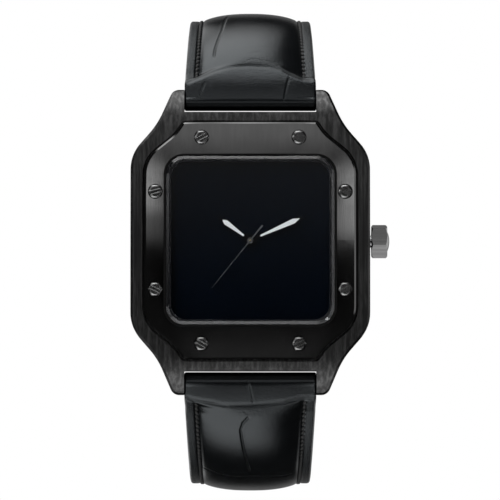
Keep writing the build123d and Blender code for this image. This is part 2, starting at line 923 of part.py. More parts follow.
def resonator():
    """The quartz resonator in its small can."""
    turn = board_start_turn + board_turn * resonator_turn_share
    x, y = polar((board_inner_radius + board_outer_radius) / 2, turn)
    level = plate_back - board_thickness - resonator_radius
    can = rod(resonator_radius, -resonator_length / 2, resonator_length / 2)
    return Pos(x, y, level) * Rot(0, 0, turn - 90) * can


def battery():
    """The button cell: a can with a stepped negative cap."""
    top = battery_back + battery_height
    step = top - battery_cap_height
    body = disc(battery_radius, battery_back, step, battery_x, battery_y)
    return body + disc(battery_cap_radius, step, top, battery_x, battery_y)


def battery_clamp():
    """The sprung contact strap that holds the cell."""
    reach = hypot(battery_x, battery_y)
    turn = Vector(battery_x, battery_y).get_signed_angle(Vector(1, 0), Vector(0, 0, -1))
    inner = reach - battery_radius - clamp_overhang
    outer = movement_radius
    strap = slab(
        (inner, outer),
        (-clamp_width / 2, clamp_width / 2),
        (battery_back - clamp_thickness, battery_back),
    )
    foot_top = plate_back
    foot = slab(
        (outer - clamp_thickness, outer),
        (-clamp_width / 2, clamp_width / 2),
        (battery_back - clamp_thickness, foot_top),
    )
    return Rot(0, 0, turn) * (strap + foot) & disc(movement_radius, 0, plate_front)


def movement_holder():
    """The plastic frame that fills the square cavity round the round movement."""
    width = cavity_width - 2 * holder_clearance
    top = dial_top - dial_thickness - seat_gap
    bottom = back_thickness + back_plug_height + seat_gap
    body = rounded_plate(width, width, cavity_radius, bottom, top)
    body -= disc(movement_radius + holder_clearance, 0, dial_top)
    inner = back_plug_width + 2 * running_clearance
    gasket_top = back_thickness + back_gasket_height + seat_gap
    body -= rounded_plate(width + overrun, width + overrun, cavity_radius, 0, gasket_top) - (
        rounded_plate(inner, inner, back_plug_radius, 0, gasket_top + overrun)
    )
    body -= rod(stem_radius + holder_clearance * 2, 0, cavity_width, z=stem_level)
    return body


def setting_lever():
    """The slotted lever whose pin sits in the groove of the stem and moves with it."""
    plate = slab(
        (stem_groove_x - lever_length / 2, stem_groove_x + lever_length / 2),
        (-lever_width / 2, lever_width / 2),
        (plate_back, plate_back + lever_thickness),
    )
    for side in (-1, 1):
        slot_half = lever_post_radius + running_clearance
        plate -= slab(
            (stem_groove_x - pull_travel - slot_half, stem_groove_x + slot_half),
            (side * lever_post_offset - slot_half, side * lever_post_offset + slot_half),
            (0, plate_front),
        )
    pin_top = stem_level - stem_groove_radius - seat_gap
    return plate + disc(lever_pin_radius, plate_back, pin_top, stem_groove_x)


crown_inner = case_width / 2 + crown_gap
crown_outer = crown_inner + crown_length


def stem():
    """The winding stem, grooved for the setting lever."""
    end = crown_outer - crown_cap_seat - running_clearance
    body = rod(stem_radius, stem_inner_end, end, z=stem_level)
    groove = rod(
        stem_radius + overrun, stem_groove_x - stem_groove_width / 2,
        stem_groove_x + stem_groove_width / 2, z=stem_level,
    )
    groove -= rod(stem_groove_radius, 0, case_width, z=stem_level)
    return body - groove


def crown():
    """The six-sided crown, turned at both ends like a nut, hollow round its tube."""
    prism = Pos(crown_inner, 0, stem_level) * Rot(0, 90, 0) * extrude(
        Rot(0, 0, crown_turn + 90) * RegularPolygon(crown_corner_radius, 6), crown_length
    )
    face_radius = crown_corner_radius - crown_chamfer_width
    profile = make_face(
        Polyline(
            (crown_inner, 0),
            (crown_inner, face_radius),
            (crown_inner + crown_chamfer_height, crown_corner_radius),
            (crown_outer - crown_chamfer_height, crown_corner_radius),
            (crown_outer, face_radius),
            (crown_outer, 0),
            close=True,
        )
    )
    body = prism & (Pos(0, 0, stem_level) * revolve(profile, Axis.X))
    body -= rod(crown_well_radius, 0, crown_inner + crown_well_depth, z=stem_level)
    body -= rod(stem_radius, 0, crown_outer, z=stem_level)
    seat = crown_outer - crown_cap_seat
    return body - rod(crown_cap_radius + seat_gap, seat, crown_outer + overrun, z=stem_level)


def crown_cap():
    """The domed cap set in the face of the crown."""
    seat = crown_outer - crown_cap_seat
    tip = crown_outer + crown_cap_rise
    dome_radius = (crown_cap_radius**2 + crown_cap_rise**2) / (2 * crown_cap_rise)
    half_turn = asin(crown_cap_radius / dome_radius) / 2
    middle = (tip - dome_radius * (1 - cos(half_turn)), dome_radius * sin(half_turn))
    profile = make_face([
        Line((seat, 0), (seat, crown_cap_radius)),
        Line((seat, crown_cap_radius), (crown_outer, crown_cap_radius)),
        ThreePointArc((crown_outer, crown_cap_radius), middle, (tip, 0)),
        Line((tip, 0), (seat, 0)),
    ])
    return Pos(0, 0, stem_level) * revolve(profile, Axis.X)


def crown_tube():
    """The steel tube pressed into the case that guides the stem."""
    body = rod(tube_radius, tube_inner_end, tube_outer_end, z=stem_level)
    return body - rod(tube_bore, 0, case_width, z=stem_level)


def crown_gasket():
    """The sealing ring inside the crown."""
    bore = tube_radius + running_clearance
    start = crown_inner + (crown_well_depth - crown_gasket_height) / 2
    end = start + crown_gasket_height
    body = rod(bore + crown_gasket_wall, start, end, z=stem_level)
    return body - rod(bore, 0, end + overrun, z=stem_level)


def blade(length, start, inlay_start, inlay_end, level, hub_radius, bore):
    """A dauphine hand along +Y: a pointed blade on a hub, with a pocket for its inlay."""
    widest = inlay_start + (inlay_end - inlay_start) * inlay_widest_share
    half_root = inlay_root_width / 2 + hand_border
    half_widest = inlay_width / 2 + hand_border
    outline = Polyline(
        (-half_root, start), (-half_widest, widest), (0, length),
        (half_widest, widest), (half_root, start), close=True,
    )
    body = Pos(0, 0, level) * extrude(make_face(outline), hand_thickness)
    body += disc(hub_radius, level, level + hand_thickness)
    body -= disc(bore, level - overrun, level + overrun)
    return body - inlay(inlay_start, inlay_end, level)


def inlay(start, end, level):
    """The pale inlay of a hand, which fills its pocket."""
    widest = start + (end - start) * inlay_widest_share
    outline = Polyline(
        (-inlay_root_width / 2, start), (-inlay_width / 2, widest), (0, end),
        (inlay_width / 2, widest), (inlay_root_width / 2, start), close=True,
    )
    return Pos(0, 0, level) * extrude(make_face(outline), hand_thickness)


def hour_hand():
    """The hour hand on the hour tube."""
    body = blade(
        hour_length, hour_tube_radius, hour_inlay_start, hour_inlay_end,
        hour_hand_level, hour_hub_radius, minute_tube_radius + running_clearance,
    )
    return Rot(0, 0, -hour_angle) * body


def minute_hand():
    """The minute hand on the cannon tube."""
    body = blade(
        minute_length, minute_tube_radius, minute_inlay_start, minute_inlay_end,
        minute_hand_level, minute_hub_radius, second_arbor_radius + running_clearance,
    )
    return Rot(0, 0, -minute_angle) * body


def second_hand():
    """The needle second hand with its tail, on the seconds arbor."""
    needle = Polyline(
        (-second_width / 2, 0), (-second_tip_width / 2, second_length),
        (second_tip_width / 2, second_length), (second_width / 2, 0),
        (second_tail_width / 2, -second_tail), (-second_tail_width / 2, -second_tail),
        close=True,
    )
    body = Pos(0, 0, second_hand_level) * extrude(make_face(needle), hand_thickness)
    body += disc(second_hub_radius, second_hand_level, second_hand_level + second_hub_height)
    body -= disc(second_arbor_radius, second_hand_level - overrun, second_hand_level + overrun)
    return Rot(0, 0, -second_angle) * body


def spring_bar_tube(y, level, face):
    """The hollow barrel of a spring bar, short enough to let both pins travel in."""
    half = face - pin_collar_gap - pin_collar_width - pin_travel - bar_end_clearance
    body = rod(bar_tube_radius, -half, half, y, level)
    return body - rod(bar_bore_radius, -half - overrun, half + overrun, y, level)


def spring_bar_pin(side, y, level, face):
    """One sprung pin: rod in the barrel, collar, and tip in the hole beyond the face."""
    collar_end = face - pin_collar_gap
    collar_start = collar_end - pin_collar_width
    body = rod(pin_rod_radius, collar_start - pin_rod_length, collar_start, y, level)
    body += rod(pin_collar_radius, collar_start, collar_end, y, level)
    body += rod(pin_tip_radius, collar_end, face + pin_tip_length, y, level)
    return body if side > 0 else mirror(body, about=Plane.YZ)


def strap_path(bend_radius, hollow_radius, hollow_turn, straight):
    """The line between lining and leather of a strap half, seen from the side."""
    along = Vector(cos(radians(strap_start_slope)), sin(radians(strap_start_slope)))
    outward = Vector(-along.Y, along.X)
    start = Vector(bar_y, bar_level) - outward * (strap_loop_radius - lining_thickness)
    bend = JernArc(start=start, tangent=along, radius=bend_radius,
                   arc_size=-strap_bend_turn)
    hollow = JernArc(start=bend @ 1, tangent=bend % 1, radius=hollow_radius,
                     arc_size=-hollow_turn)
    run = Line(hollow @ 1, hollow @ 1 + (hollow % 1) * straight)
    return Plane.YZ * Wire([bend.edge(), hollow.edge(), run.edge()])


def strap_plane(path, distance):
    """A plane across the strap: its x is the watch's x, its y points out of the leather."""
    place = path.position_at(distance, position_mode=PositionMode.LENGTH)
    along = path.tangent_at(distance, position_mode=PositionMode.LENGTH)
    return Plane(origin=place, x_dir=(1, 0, 0), z_dir=-along)


# Form of a strap half: place, taper, edge height and crown height, as shares.
# Places run from 0 to 1 over the padded run at the case, and on to 2 at the far end.
strap_form_shares = (
    (0.0, 0.0, 2.14, 0.87),
    (0.1, 0.0, 2.0, 0.93),
    (0.18, 0.01, 1.15, 0.97),
    (0.27, 0.07, 1.0, 0.98),
    (0.4, 0.15, 1.0, 0.95),
    (0.65, 0.28, 1.0, 0.88),
    (1.0, 0.38, 1.0, 0.78),
    (1.2, 0.6, 1.0, 0.72),
    (1.45, 0.9, 1.0, 0.64),
    (1.7, 0.99, 0.97, 0.52),
    (2.0, 1.0, 0.93, 0.42),
)
padding_end_share = 0.78
strap_station_gap = 3.4


def form_at(distance, length):
    """Taper, edge height and crown height at a distance along a strap half."""
    rows = strap_form_shares
    beyond = (distance - strap_form_run) / (length - strap_form_run)
    share = distance / strap_form_run if distance < strap_form_run else 1 + beyond
    for low, high in zip(rows, rows[1:]):
        if share <= high[0]:
            part = (share - low[0]) / (high[0] - low[0])
            return [start + (end - start) * part for start, end in zip(low[1:], high[1:])]
    return list(rows[-1][1:])


def width_at(share):
    """Strap width at a share of the way from its full width to its end width."""
    return strap_root_width + (strap_end_width - strap_root_width) * share


def crowned_face(plane, width, edge, crown):
    """A crowned section: flat base, low sides, a margin for the seam and a curved top."""
    half = width / 2
    bend = half - strap_margin
    outline = [
        Line((-half, 0), (-half, edge)),
        Line((-half, edge), (-bend, edge)),
        ThreePointArc((-bend, edge), (0, crown), (bend, edge)),
        Line((bend, edge), (half, edge)),
        Line((half, edge), (half, 0)),
        Line((half, 0), (-half, 0)),
    ]
    return plane * make_face(outline)


def stations(start, end):
    """Evenly spaced distances along a strap half."""
    count = ceil((end - start) / strap_station_gap)
    return [start + (end - start) * k / count for k in range(count + 1)]


def leather_body(path, length):
    """The upper leather as a full crowned body, before its padding is taken out."""
    faces = []
    for distance in stations(0, length):
        taper, edge, crown = form_at(distance, length)
        faces.append(crowned_face(
            strap_plane(path, distance),
            width_at(taper),
            strap_edge_height * edge,
            strap_crown_height * crown,
        ))
    return loft(faces)


def padding_body(path, length):
    """The padding under the leather, a crowned pad that dies away along the strap."""
    faces = []
    for distance in stations(padding_setback, length * padding_end_share):
        taper, _, crown = form_at(distance, length)
        half = width_at(taper) / 2 - strap_margin - leather_thickness
        base = -glue_line / 2
        top = strap_crown_height * crown - leather_thickness
        outline = [
            ThreePointArc((-half, base), (0, top), (half, base)),
            Line((half, base), (-half, base)),
        ]
        faces.append(strap_plane(path, distance) * make_face(outline))
    return loft(faces)


def lining_body(path, length, start, end):
    """The flat lining on the wrist side of a strap half."""
    faces = []
    for distance in stations(start, end):
        taper = form_at(distance, length)[0]
        section = Pos(0, -(lining_thickness + glue_line) / 2) * Rectangle(
            width_at(taper), lining_thickness - glue_line
        )
        faces.append(strap_plane(path, distance) * section)
    return loft(faces)


def loop_at(plane, width, radius, height):
    """A round fold of leather about a bar across the strap."""
    fold = Rot(0, 90, 0) * extrude(Circle(radius), width / 2, both=True)
    return plane * (Pos(0, height, 0) * fold)


def strap_half(bend_radius, hollow_radius, hollow_turn, straight):
    """Path, length and raw solids of one strap half: leather, lining and padding."""
    path = strap_path(bend_radius, hollow_radius, hollow_turn, straight)
    length = path.length
    padding = padding_body(path, length)
    leather = leather_body(path, length) - padding
    root = strap_plane(path, 0)
    bar_height = strap_loop_radius - lining_thickness
    leather += loop_at(root, strap_root_width, strap_loop_radius, bar_height)
    return path, length, leather, padding


def short_half():
    """The buckle half, above 12 o'clock: leather, lining and padding."""
    path, length, leather, padding = strap_half(
        short_bend_radius, short_hollow_radius, short_hollow_turn, short_straight
    )
    root = strap_plane(path, 0)
    end = strap_plane(path, length)
    bar_height = strap_loop_radius - lining_thickness
    end_height = buckle_loop_radius - lining_thickness
    leather += loop_at(end, strap_end_width, buckle_loop_radius, end_height)
    lining = lining_body(path, length, lining_setback, length - lining_setback)
    bore = bar_tube_radius + strap_bore_clearance
    leather -= loop_at(root, strap_root_width + overrun, bore, bar_height)
    leather -= loop_at(end, strap_end_width + overrun, bore, end_height)
    slot = end * slab(
        (-tongue_slot_width / 2, tongue_slot_width / 2),
        (-lining_thickness - overrun, strap_crown_height + overrun),
        (-buckle_loop_radius - overrun, tongue_slot_reach),
    )
    return path, length, leather - slot, lining - slot, padding


def long_half():
    """The hole half, below 6 o'clock, modelled upwards like the other half."""
    path, length, leather, padding = strap_half(
        long_bend_radius, long_hollow_radius, long_hollow_turn, long_straight
    )
    root = strap_plane(path, 0)
    bar_height = strap_loop_radius - lining_thickness
    bore = bar_tube_radius + strap_bore_clearance
    lining = lining_body(path, length, lining_setback, length)
    leather -= loop_at(root, strap_root_width + overrun, bore, bar_height)
    end = strap_plane(path, length)
    reach = strap_end_width / 2 + overrun
    tip = make_face([
        ThreePointArc((-reach, strap_tip_radius), (0, 0), (reach, strap_tip_radius)),
        Line((reach, strap_tip_radius), (reach, -overrun)),
        Line((reach, -overrun), (-reach, -overrun)),
        Line((-reach, -overrun), (-reach, strap_tip_radius)),
    ])
    cutter = end * (Rot(90, 0, 0) * extrude(tip, strap_crown_height + overrun, both=True))
    leather -= cutter
    lining -= cutter
    for hole in range(hole_count):
        place = strap_plane(path, length - first_hole - hole * hole_spacing)
        punch = place * (Rot(90, 0, 0) * extrude(
            Circle(hole_radius), strap_crown_height + overrun, both=True
        ))
        leather -= punch
        lining -= punch
    return path, length, leather, lining, padding


def keeper(path, distance):
    """A leather loop round the short strap half, with room for the other half's tip."""
    plane = strap_plane(path, distance)
    inner_half = strap_end_width / 2 + keeper_side_clearance
    low = -lining_thickness - keeper_under_clearance
    high = strap_end_height + keeper_room
    middle = (low + high) / 2
    inner = RectangleRounded(2 * inner_half, high - low, keeper_corner_radius)
    outer = RectangleRounded(
        2 * (inner_half + keeper_wall),
        high - low + 2 * keeper_wall,
        keeper_corner_radius + keeper_wall,
    )
    band = extrude(Pos(0, middle) * (outer - inner), keeper_band / 2, both=True)
    return plane * band


def buckle_plane(path, length):
    """The frame of the buckle: its origin on the bar, z back towards the watch."""
    plane = strap_plane(path, length)
    return plane * Pos(0, buckle_loop_radius - lining_thickness, 0)


def buckle_frame(place):
    """The buckle: two arms on the bar and a rounded far bar that the tongue rests on."""
    outer = slab(
        (-buckle_outer_width / 2, buckle_outer_width / 2),
        (-buckle_thickness / 2, buckle_thickness / 2),
        (-buckle_reach, buckle_heel),
    )
    outer = fillet(outer.edges().filter_by(Axis.Y).sort_by(Axis.Z)[:2], buckle_corner_radius)
    heel_radius = buckle_heel - fillet_margin
    outer = fillet(outer.edges().filter_by(Axis.Y).sort_by(Axis.Z)[-2:], heel_radius)
    inner = slab(
        (-buckle_inner_width / 2, buckle_inner_width / 2),
        (-buckle_thickness, buckle_thickness),
        (-buckle_reach + buckle_bar_depth, buckle_heel + overrun),
    )
    body = outer - inner
    rims = body.edges().filter_by(lambda e: abs(abs((e @ 0.5).Y) - buckle_thickness / 2) < seat_gap)
    body = fillet(rims, buckle_edge_fillet)
    tips = buckle_inner_width / 2 + pin_tip_length + seat_gap
    body -= rod(pin_tip_radius + running_clearance, -tips, tips)
    return place * body


def buckle_tongue(place):
    """The tongue: a loop on the bar and a tapering blade that rests on the far bar."""
    bore = bar_tube_radius + running_clearance
    eye = bore + tongue_thickness * tongue_eye_share
    rest = buckle_thickness / 2 + tongue_seat_gap
    top = rest + tongue_thickness
    bend = -buckle_reach * tongue_bend_share
    taper = -buckle_reach * tongue_taper_share
    tip = -buckle_reach - tongue_overhang
    blade_face = make_face(Polyline(
        (0, eye - tongue_thickness),
        (bend, rest),
        (tip, rest),
        (tip, rest + tongue_thickness * tongue_tip_share),
        (taper, top),
        (bend, top),
        (0, eye),
        close=True,
    ))
    side = Plane(origin=(0, 0, 0), x_dir=(0, 0, 1), z_dir=(-1, 0, 0))
    body = extrude(side * blade_face, tongue_width / 2, both=True)
    body += Rot(0, 90, 0) * extrude(Circle(eye), tongue_width / 2, both=True)
    body -= Rot(0, 90, 0) * extrude(Circle(bore), tongue_width, both=True)
    return place * body


def build():
    """Makes every node and writes it."""
    os.makedirs("parts", exist_ok=True)
    save("case", case_body())
    save("bezel", bezel())
    save("bezel_screws", *[slotted_hex_screw(*place) for place in screw_places])
    save("crystal", crystal())
    save("crystal_gasket", crystal_gasket())
    save("dial", dial())
    save("dial_ring", dial_ring())
    save("case_back", case_back())
    save("case_back_gasket", case_back_gasket())
    save("case_back_screws", *[case_back_screw(*place) for place in back_screw_places])
    save("movement_holder", movement_holder())
    save("main_plate", main_plate())
    save("train_bridge", train_bridge())
    save("battery", battery())
    save("battery_clamp", battery_clamp())
    save("circuit_board", circuit_board())
    save("quartz_resonator", resonator())
    save("coil_core", coil_core())
    save("coil_winding", coil_winding())
    save("stator", stator())
    save("rotor", rotor())
    save("intermediate_wheel", intermediate_wheel())
    save("seconds_wheel", seconds_wheel())
    save("third_wheel", third_wheel())
    save("centre_wheel", centre_wheel())
    save("minute_wheel", minute_wheel())
    save("hour_wheel", hour_wheel())
    save("setting_lever", setting_lever())
    save("stem", stem())
    save("crown", crown())
    save("crown_cap", crown_cap())
    save("crown_tube", crown_tube())
    save("crown_gasket", crown_gasket())
    save("hour_hand", hour_hand())
    save("minute_hand", minute_hand())
    save("second_hand", second_hand())
    save("hour_hand_inlay", Rot(0, 0, -hour_angle) * inlay(
        hour_inlay_start, hour_inlay_end, hour_hand_level))
    save("minute_hand_inlay", Rot(0, 0, -minute_angle) * inlay(
        minute_inlay_start, minute_inlay_end, minute_hand_level))
    for name, side in (("12", 1), ("6", -1)):
        save("spring_bar_" + name, spring_bar_tube(side * bar_y, bar_level, lug_gap / 2))
        for hand, way in (("left", -1), ("right", 1)):
            pin = spring_bar_pin(way, side * bar_y, bar_level, lug_gap / 2)
            save("spring_bar_" + name + "_pin_" + hand, pin)
    path, length, leather, lining, padding = short_half()
    save("strap_12_leather", leather)
    save("strap_12_lining", lining)
    save("strap_12_padding", padding)
    save("fixed_keeper", keeper(path, length - fixed_keeper_distance))
    save("free_keeper", keeper(path, length - free_keeper_distance))
    place = buckle_plane(path, length)
    save("buckle_frame", buckle_frame(place))
    save("buckle_tongue", buckle_tongue(place))
    half = buckle_inner_width / 2
    save("buckle_bar", place * spring_bar_tube(0, 0, half))
    for hand, way in (("left", -1), ("right", 1)):
        save("buckle_bar_pin_" + hand, place * spring_bar_pin(way, 0, 0, half))
    turn = Rot(0, 0, 180)
    _, _, leather, lining, padding = long_half()
    save("strap_6_leather", turn * leather)
    save("strap_6_lining", turn * lining)
    save("strap_6_padding", turn * padding)


build()
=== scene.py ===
import json
from math import cos, pi, radians, sin

import bpy
import numpy as np
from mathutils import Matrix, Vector


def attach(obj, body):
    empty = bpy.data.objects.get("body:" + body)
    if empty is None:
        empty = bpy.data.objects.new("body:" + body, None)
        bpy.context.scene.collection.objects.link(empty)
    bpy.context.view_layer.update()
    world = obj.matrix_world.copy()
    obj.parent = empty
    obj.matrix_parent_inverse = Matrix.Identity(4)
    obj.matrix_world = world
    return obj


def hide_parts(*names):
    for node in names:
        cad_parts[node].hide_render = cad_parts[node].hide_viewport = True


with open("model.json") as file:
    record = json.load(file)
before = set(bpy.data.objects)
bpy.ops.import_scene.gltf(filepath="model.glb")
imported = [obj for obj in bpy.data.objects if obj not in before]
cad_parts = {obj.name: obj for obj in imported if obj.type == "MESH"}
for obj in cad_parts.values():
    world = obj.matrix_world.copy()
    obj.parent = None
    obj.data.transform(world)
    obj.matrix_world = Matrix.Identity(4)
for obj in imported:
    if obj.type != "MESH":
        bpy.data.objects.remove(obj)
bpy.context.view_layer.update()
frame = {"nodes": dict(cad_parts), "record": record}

# Lengths of the strap and keepers are in millimetres, as in the part's source;
# everything else is in metres. Row frame: +X to the crown, -Y out of the dial, +Z to 12.
mm = 0.001

# Camera, as the photograph shows the watch
camera_target = Vector((-0.00005, -0.008, -0.0016))
camera_distance = 0.75
camera_elevation = radians(-3.3)
camera_lens = 324.0
camera_sensor = 36.0

# Floor: below the strap at every pose
floor_level = -0.15
floor_front = -0.14
floor_back = 3.0
floor_reach = 1.6
floor_glow = 0.34

# Key lamp
key_place = (-0.45, -0.95, 0.65)
key_size = 0.6
key_power = 8.0

# Studio round the object, in degrees: turn is 0 at the front and 90 at the crown's side.
# Each panel has its turns, rises, softness, softness of its lower edge, and strength.
sky_base = 0.02
first_panel = ((-60, -13), (7.3, 14.5), 1.5, 1.2, 1.5)
other_panels = (
    ((-60, -13), (3.4, 46), 1.5, 1.1, 0.42),
    ((13, 26), (3.8, 14), 1.5, 1.3, 1.5),
    ((70, 105), (-12, 20), 5, 4, 0.6),
    ((-13, 13), (16, 37), 2, 3, 0.55),
    ((-34, -8), (-26, -17), 4, 4, 1.8),
    ((8, 34), (-26, -17), 4, 4, 1.8),
    ((-160, -115), (-35, 60), 8, 8, 1.1),
    ((112, 150), (-35, 26), 8, 8, 1.1),
)
camera_shade_rise = -2.0
camera_shade_edge = (12.6, 13.4)

# Route of the strap, between lining and leather. A half's route has the radius of its bend,
# the radius and turn of the hollow run after it, and its straight end.
bar_y = 23.7
bar_level = 2.4
fold_radius = 1.9
lining_thickness = 1.2
fold_height = fold_radius - lining_thickness
start_slope = -15
bend_turn = 75
short_route = (19.8, 130.0, 9, 28.0)
long_route = (21.15, 210.0, 13.6, 38.0)

# Form of the strap. A form row has its place (1 at the end of the form's run, 2 at the end of
# the half), the share of the taper, and the heights of edge and crown as shares.
root_width = 21.9
end_width = 18.0
form_run = 26.0
edge_height = 1.1
crown_height = 3.0
form_rows = (
    (0.0, 0.0, 2.14, 0.87),
    (0.1, 0.0, 2.0, 0.93),
    (0.18, 0.01, 1.15, 0.97),
    (0.27, 0.07, 1.0, 0.98),
    (0.4, 0.15, 1.0, 0.95),
    (0.65, 0.28, 1.0, 0.88),
    (1.0, 0.38, 1.0, 0.78),
    (1.2, 0.6, 1.0, 0.72),
    (1.45, 0.9, 1.0, 0.64),
    (1.7, 0.99, 0.97, 0.52),
    (2.0, 1.0, 0.93, 0.42),
)
margin_width = 2.2
pad_roundness = 2.4
pad_fullness = 0.8
edge_round = 0.45
root_round = 0.3
root_swell = 0.1
root_swell_end = 4.0
short_back_share = 0.8
glue_line = 0.05
under_fold = 2.4
step_width = 0.04
buckle_fold_radius = 1.6
buckle_fold_height = buckle_fold_radius - lining_thickness
bore_radius = 0.83
slot_width = 2.8
slot_reach = 4.2
tip_radius = 10.0
hole_radius = 0.9
hole_count = 7
hole_spacing = 6.5
first_hole = 20.0
lining_inset = 0.06
fold_rows = 9
fold_steps = 17
tip_sweep = radians(87.5)

# Rows and columns of the leather's mesh, closer at the edges and where the photograph shows it
row_spacing = 0.18
far_row_spacing = 0.5
near_rows_end = 32.0
column_spacing = 0.2
lining_column_spacing = 0.5
edge_band = 3.0
edge_band_share = 0.3
edge_columns = (0, 0.03, 0.09, 0.18, 0.3, 0.45, 0.65, 0.87, 1.1, 1.35, 1.55, 1.72,
                1.9, 2.08, 2.25, 2.5, 2.75)

# Seams
stitch_inset = 1.9
stitch_pitch = 0.85
stitch_length = 0.86
stitch_radius = 0.2
stitch_slant = radians(24)
stitch_start = 0.4
stitch_lift = 0.13
stitch_sink = 0.03
stitch_end_drop = 0.08
stitch_flatness = (1.15, 0.9)
stitch_rings = 5
stitch_sides = 6
channel_depth = 0.15
channel_width = 0.42

# Keepers
keeper_band = 5.0
keeper_wall = 1.1
keeper_half = end_width / 2 + 0.4
keeper_low = -lining_thickness - 0.15
keeper_high = 1.25 + 2.6
keeper_corner = 0.3
keeper_corner_ease = 0.25
keeper_edge_round = 0.32
keeper_bow = 0.16
keeper_swell = 0.09
keeper_point_spacing = 0.6
fixed_keeper_distance = 6.5
free_keeper_distance = 16.5

# Folded root, up to the crease of the root line
root_rise = 0.05
root_side_drop = 0.22
root_blend = (-0.15, 0.9)
root_crease_depth = 0.26
root_crease_middle = 0.1
root_crease_width = 0.28
root_crease_sides = (3.0, 7.5)
root_crease_fade = 1.2
# Painted shade along the root's crease: its share in the middle and the width of its band
root_shade_middle = 0.3
root_shade_width = 0.26

# Fine wrinkles: beyond the root line about a middle, and on the margins
wrinkle_middle = (1.0, 0.9)
wrinkle_reach = (4.5, 1.1)
margin_wrinkles = 1.6
margin_wrinkles_from = (0.1, 0.3)
margin_wrinkles_to = (1.3, 1.7)
margin_wrinkles_start = 0.8

# Creases of each half: points as x and distance along the strap, then depth and width
crease_sharpness = 0.38
crease_taper = 1.1
crease_lip = 0.15
# Crease depth that gets the full painted shade
crease_full_shade = 0.14
short_root_line = ((-10.9, 2.5), (-9, 3.3), (-6.6, 4.3), (-3.2, 5.1), (-0.1, 5.3), (3.3, 5.1),
                   (5.3, 4.7), (6.7, 4.0), (8.8, 3.2), (11, 3.0))
long_root_line = ((-11, 1.6), (-9.8, 2.2), (-7.6, 2.6), (-4.2, 3.0), (-0.1, 2.9), (3.3, 2.7),
                  (5.8, 2.6), (8.3, 2.0), (10.9, 1.8))
short_creases = (
    (((-6.2, 6.8), (-6, 8.9), (-5.6, 10.7), (-4.8, 13.8), (-3.9, 20)), 0.16, 0.5),
    (((-7.5, 2.9), (-8.1, 1.3), (-8.7, -0.3)), 0.1, 0.35),
    (((6.6, 3.7), (6.0, 1.2), (5.5, -1.0)), 0.1, 0.35),
    (((-1.7, 5.6), (0.3, 6.5), (2.4, 6.2), (5.8, 5.9)), 0.05, 0.3),
    (((-0.8, 7.4), (1.6, 7.9), (4.2, 7.3)), 0.04, 0.3),
    (((0.6, 8.9), (2.8, 9.0), (5.0, 8.4)), 0.03, 0.3),
)
long_creases = (
    (((-0.6, -1.5), (-0.2, -0.2), (0.1, 0.9), (0.4, 2.1), (0.5, 2.9)), 0.12, 0.35),
    (((0.1, 4.5), (-1.2, 5.8), (-1.6, 7.0), (-1.4, 8.8), (-1.1, 10.8), (-0.6, 13.3),
      (0, 16.5)), 0.16, 0.45),
    (((-8.5, 16.8), (-6.8, 17.2), (-4.3, 17.9), (-1.7, 18.0), (0.3, 17.5), (3.3, 18.0),
      (5.9, 18.5), (7.6, 18.4)), 0.1, 0.4),
    (((-1.7, 3.4), (-0.6, 4.2), (1.0, 4.0)), 0.05, 0.25),
    (((-1.2, 4.6), (0.2, 5.2), (1.2, 5.0)), 0.04, 0.25),
)


# Strap geometry

class Route:
    """The line of a strap half seen from the side; way is 1 above 12 o'clock, -1 below 6."""

    def __init__(self, radius, hollow_radius, hollow_turn, straight, way):
        self.way = way
        self.runs = [
            (radius * radians(bend_turn), radians(bend_turn)),
            (hollow_radius * radians(hollow_turn), radians(hollow_turn)),
            (straight, 0),
        ]
        self.length = sum(run for run, _ in self.runs)

    def at(self, s):
        """Height towards 12 or 6, level out of the case back, and heading at distances s."""
        s = np.asarray(s, float)
        slope = radians(start_slope)
        heading = np.full(s.shape, slope)
        y = bar_y + sin(slope) * fold_height + np.minimum(s, 0) * cos(slope)
        level = bar_level - cos(slope) * fold_height + np.minimum(s, 0) * sin(slope)
        start = 0.0
        for index, (run, turn) in enumerate(self.runs):
            last = index == len(self.runs) - 1
            part = np.maximum(s - start, 0) if last else np.clip(s - start, 0, run)
            angle = turn * part / run
            if turn:
                radius = run / turn
                y = y + radius * (np.sin(heading) - np.sin(heading - angle))
                level = level - radius * (np.cos(heading) - np.cos(heading - angle))
            else:
                y = y + part * np.cos(heading)
                level = level + part * np.sin(heading)
            heading = heading - angle
            start += run
        return y, level, heading

    def place(self, x, s, h):
        """Row-frame points, in metres, of places across, along and above the strap."""
        y, level, heading = self.at(s)
        y = y - np.sin(heading) * h
        level = level + np.cos(heading) * h
        return np.stack([np.broadcast_to(x, y.shape), -level, self.way * y], -1) * mm


def form_at(s, length):
    """Width, edge height and crown height at distances s along a strap half."""
    share = np.where(s < form_run, s / form_run, 1 + (s - form_run) / (length - form_run))
    places = [row[0] for row in form_rows]
    taper, edge, crown = (
        np.interp(share, places, [row[k] for row in form_rows]) for k in (1, 2, 3)
    )
    width = root_width - (root_width - end_width) * taper
    return width, edge_height * edge, crown_height * crown


def smooth_step(low, high, value):
    """0 below low, 1 above high, and a soft turn between."""
    t = np.clip((value - low) / (high - low), 0, 1)
    return t * t * (3 - 2 * t)


def rounding(radius, distance):
    """How far a rounded edge drops at a distance in from the side."""
    inside = np.clip(radius - distance, 0, radius)
    return radius - np.sqrt(radius * radius - inside * inside)


def line_distance(x, s, line):
    """Distance of places from a line given by its points."""
    nearest = np.full(np.broadcast(x, s).shape, 1e9)
    for (x0, s0), (x1, s1) in zip(line, line[1:]):
        dx, ds = x1 - x0, s1 - s0
        t = np.clip(((x - x0) * dx + (s - s0) * ds) / (dx * dx + ds * ds), 0, 1)
        nearest = np.minimum(nearest, np.hypot(x - x0 - t * dx, s - s0 - t * ds))
    return nearest


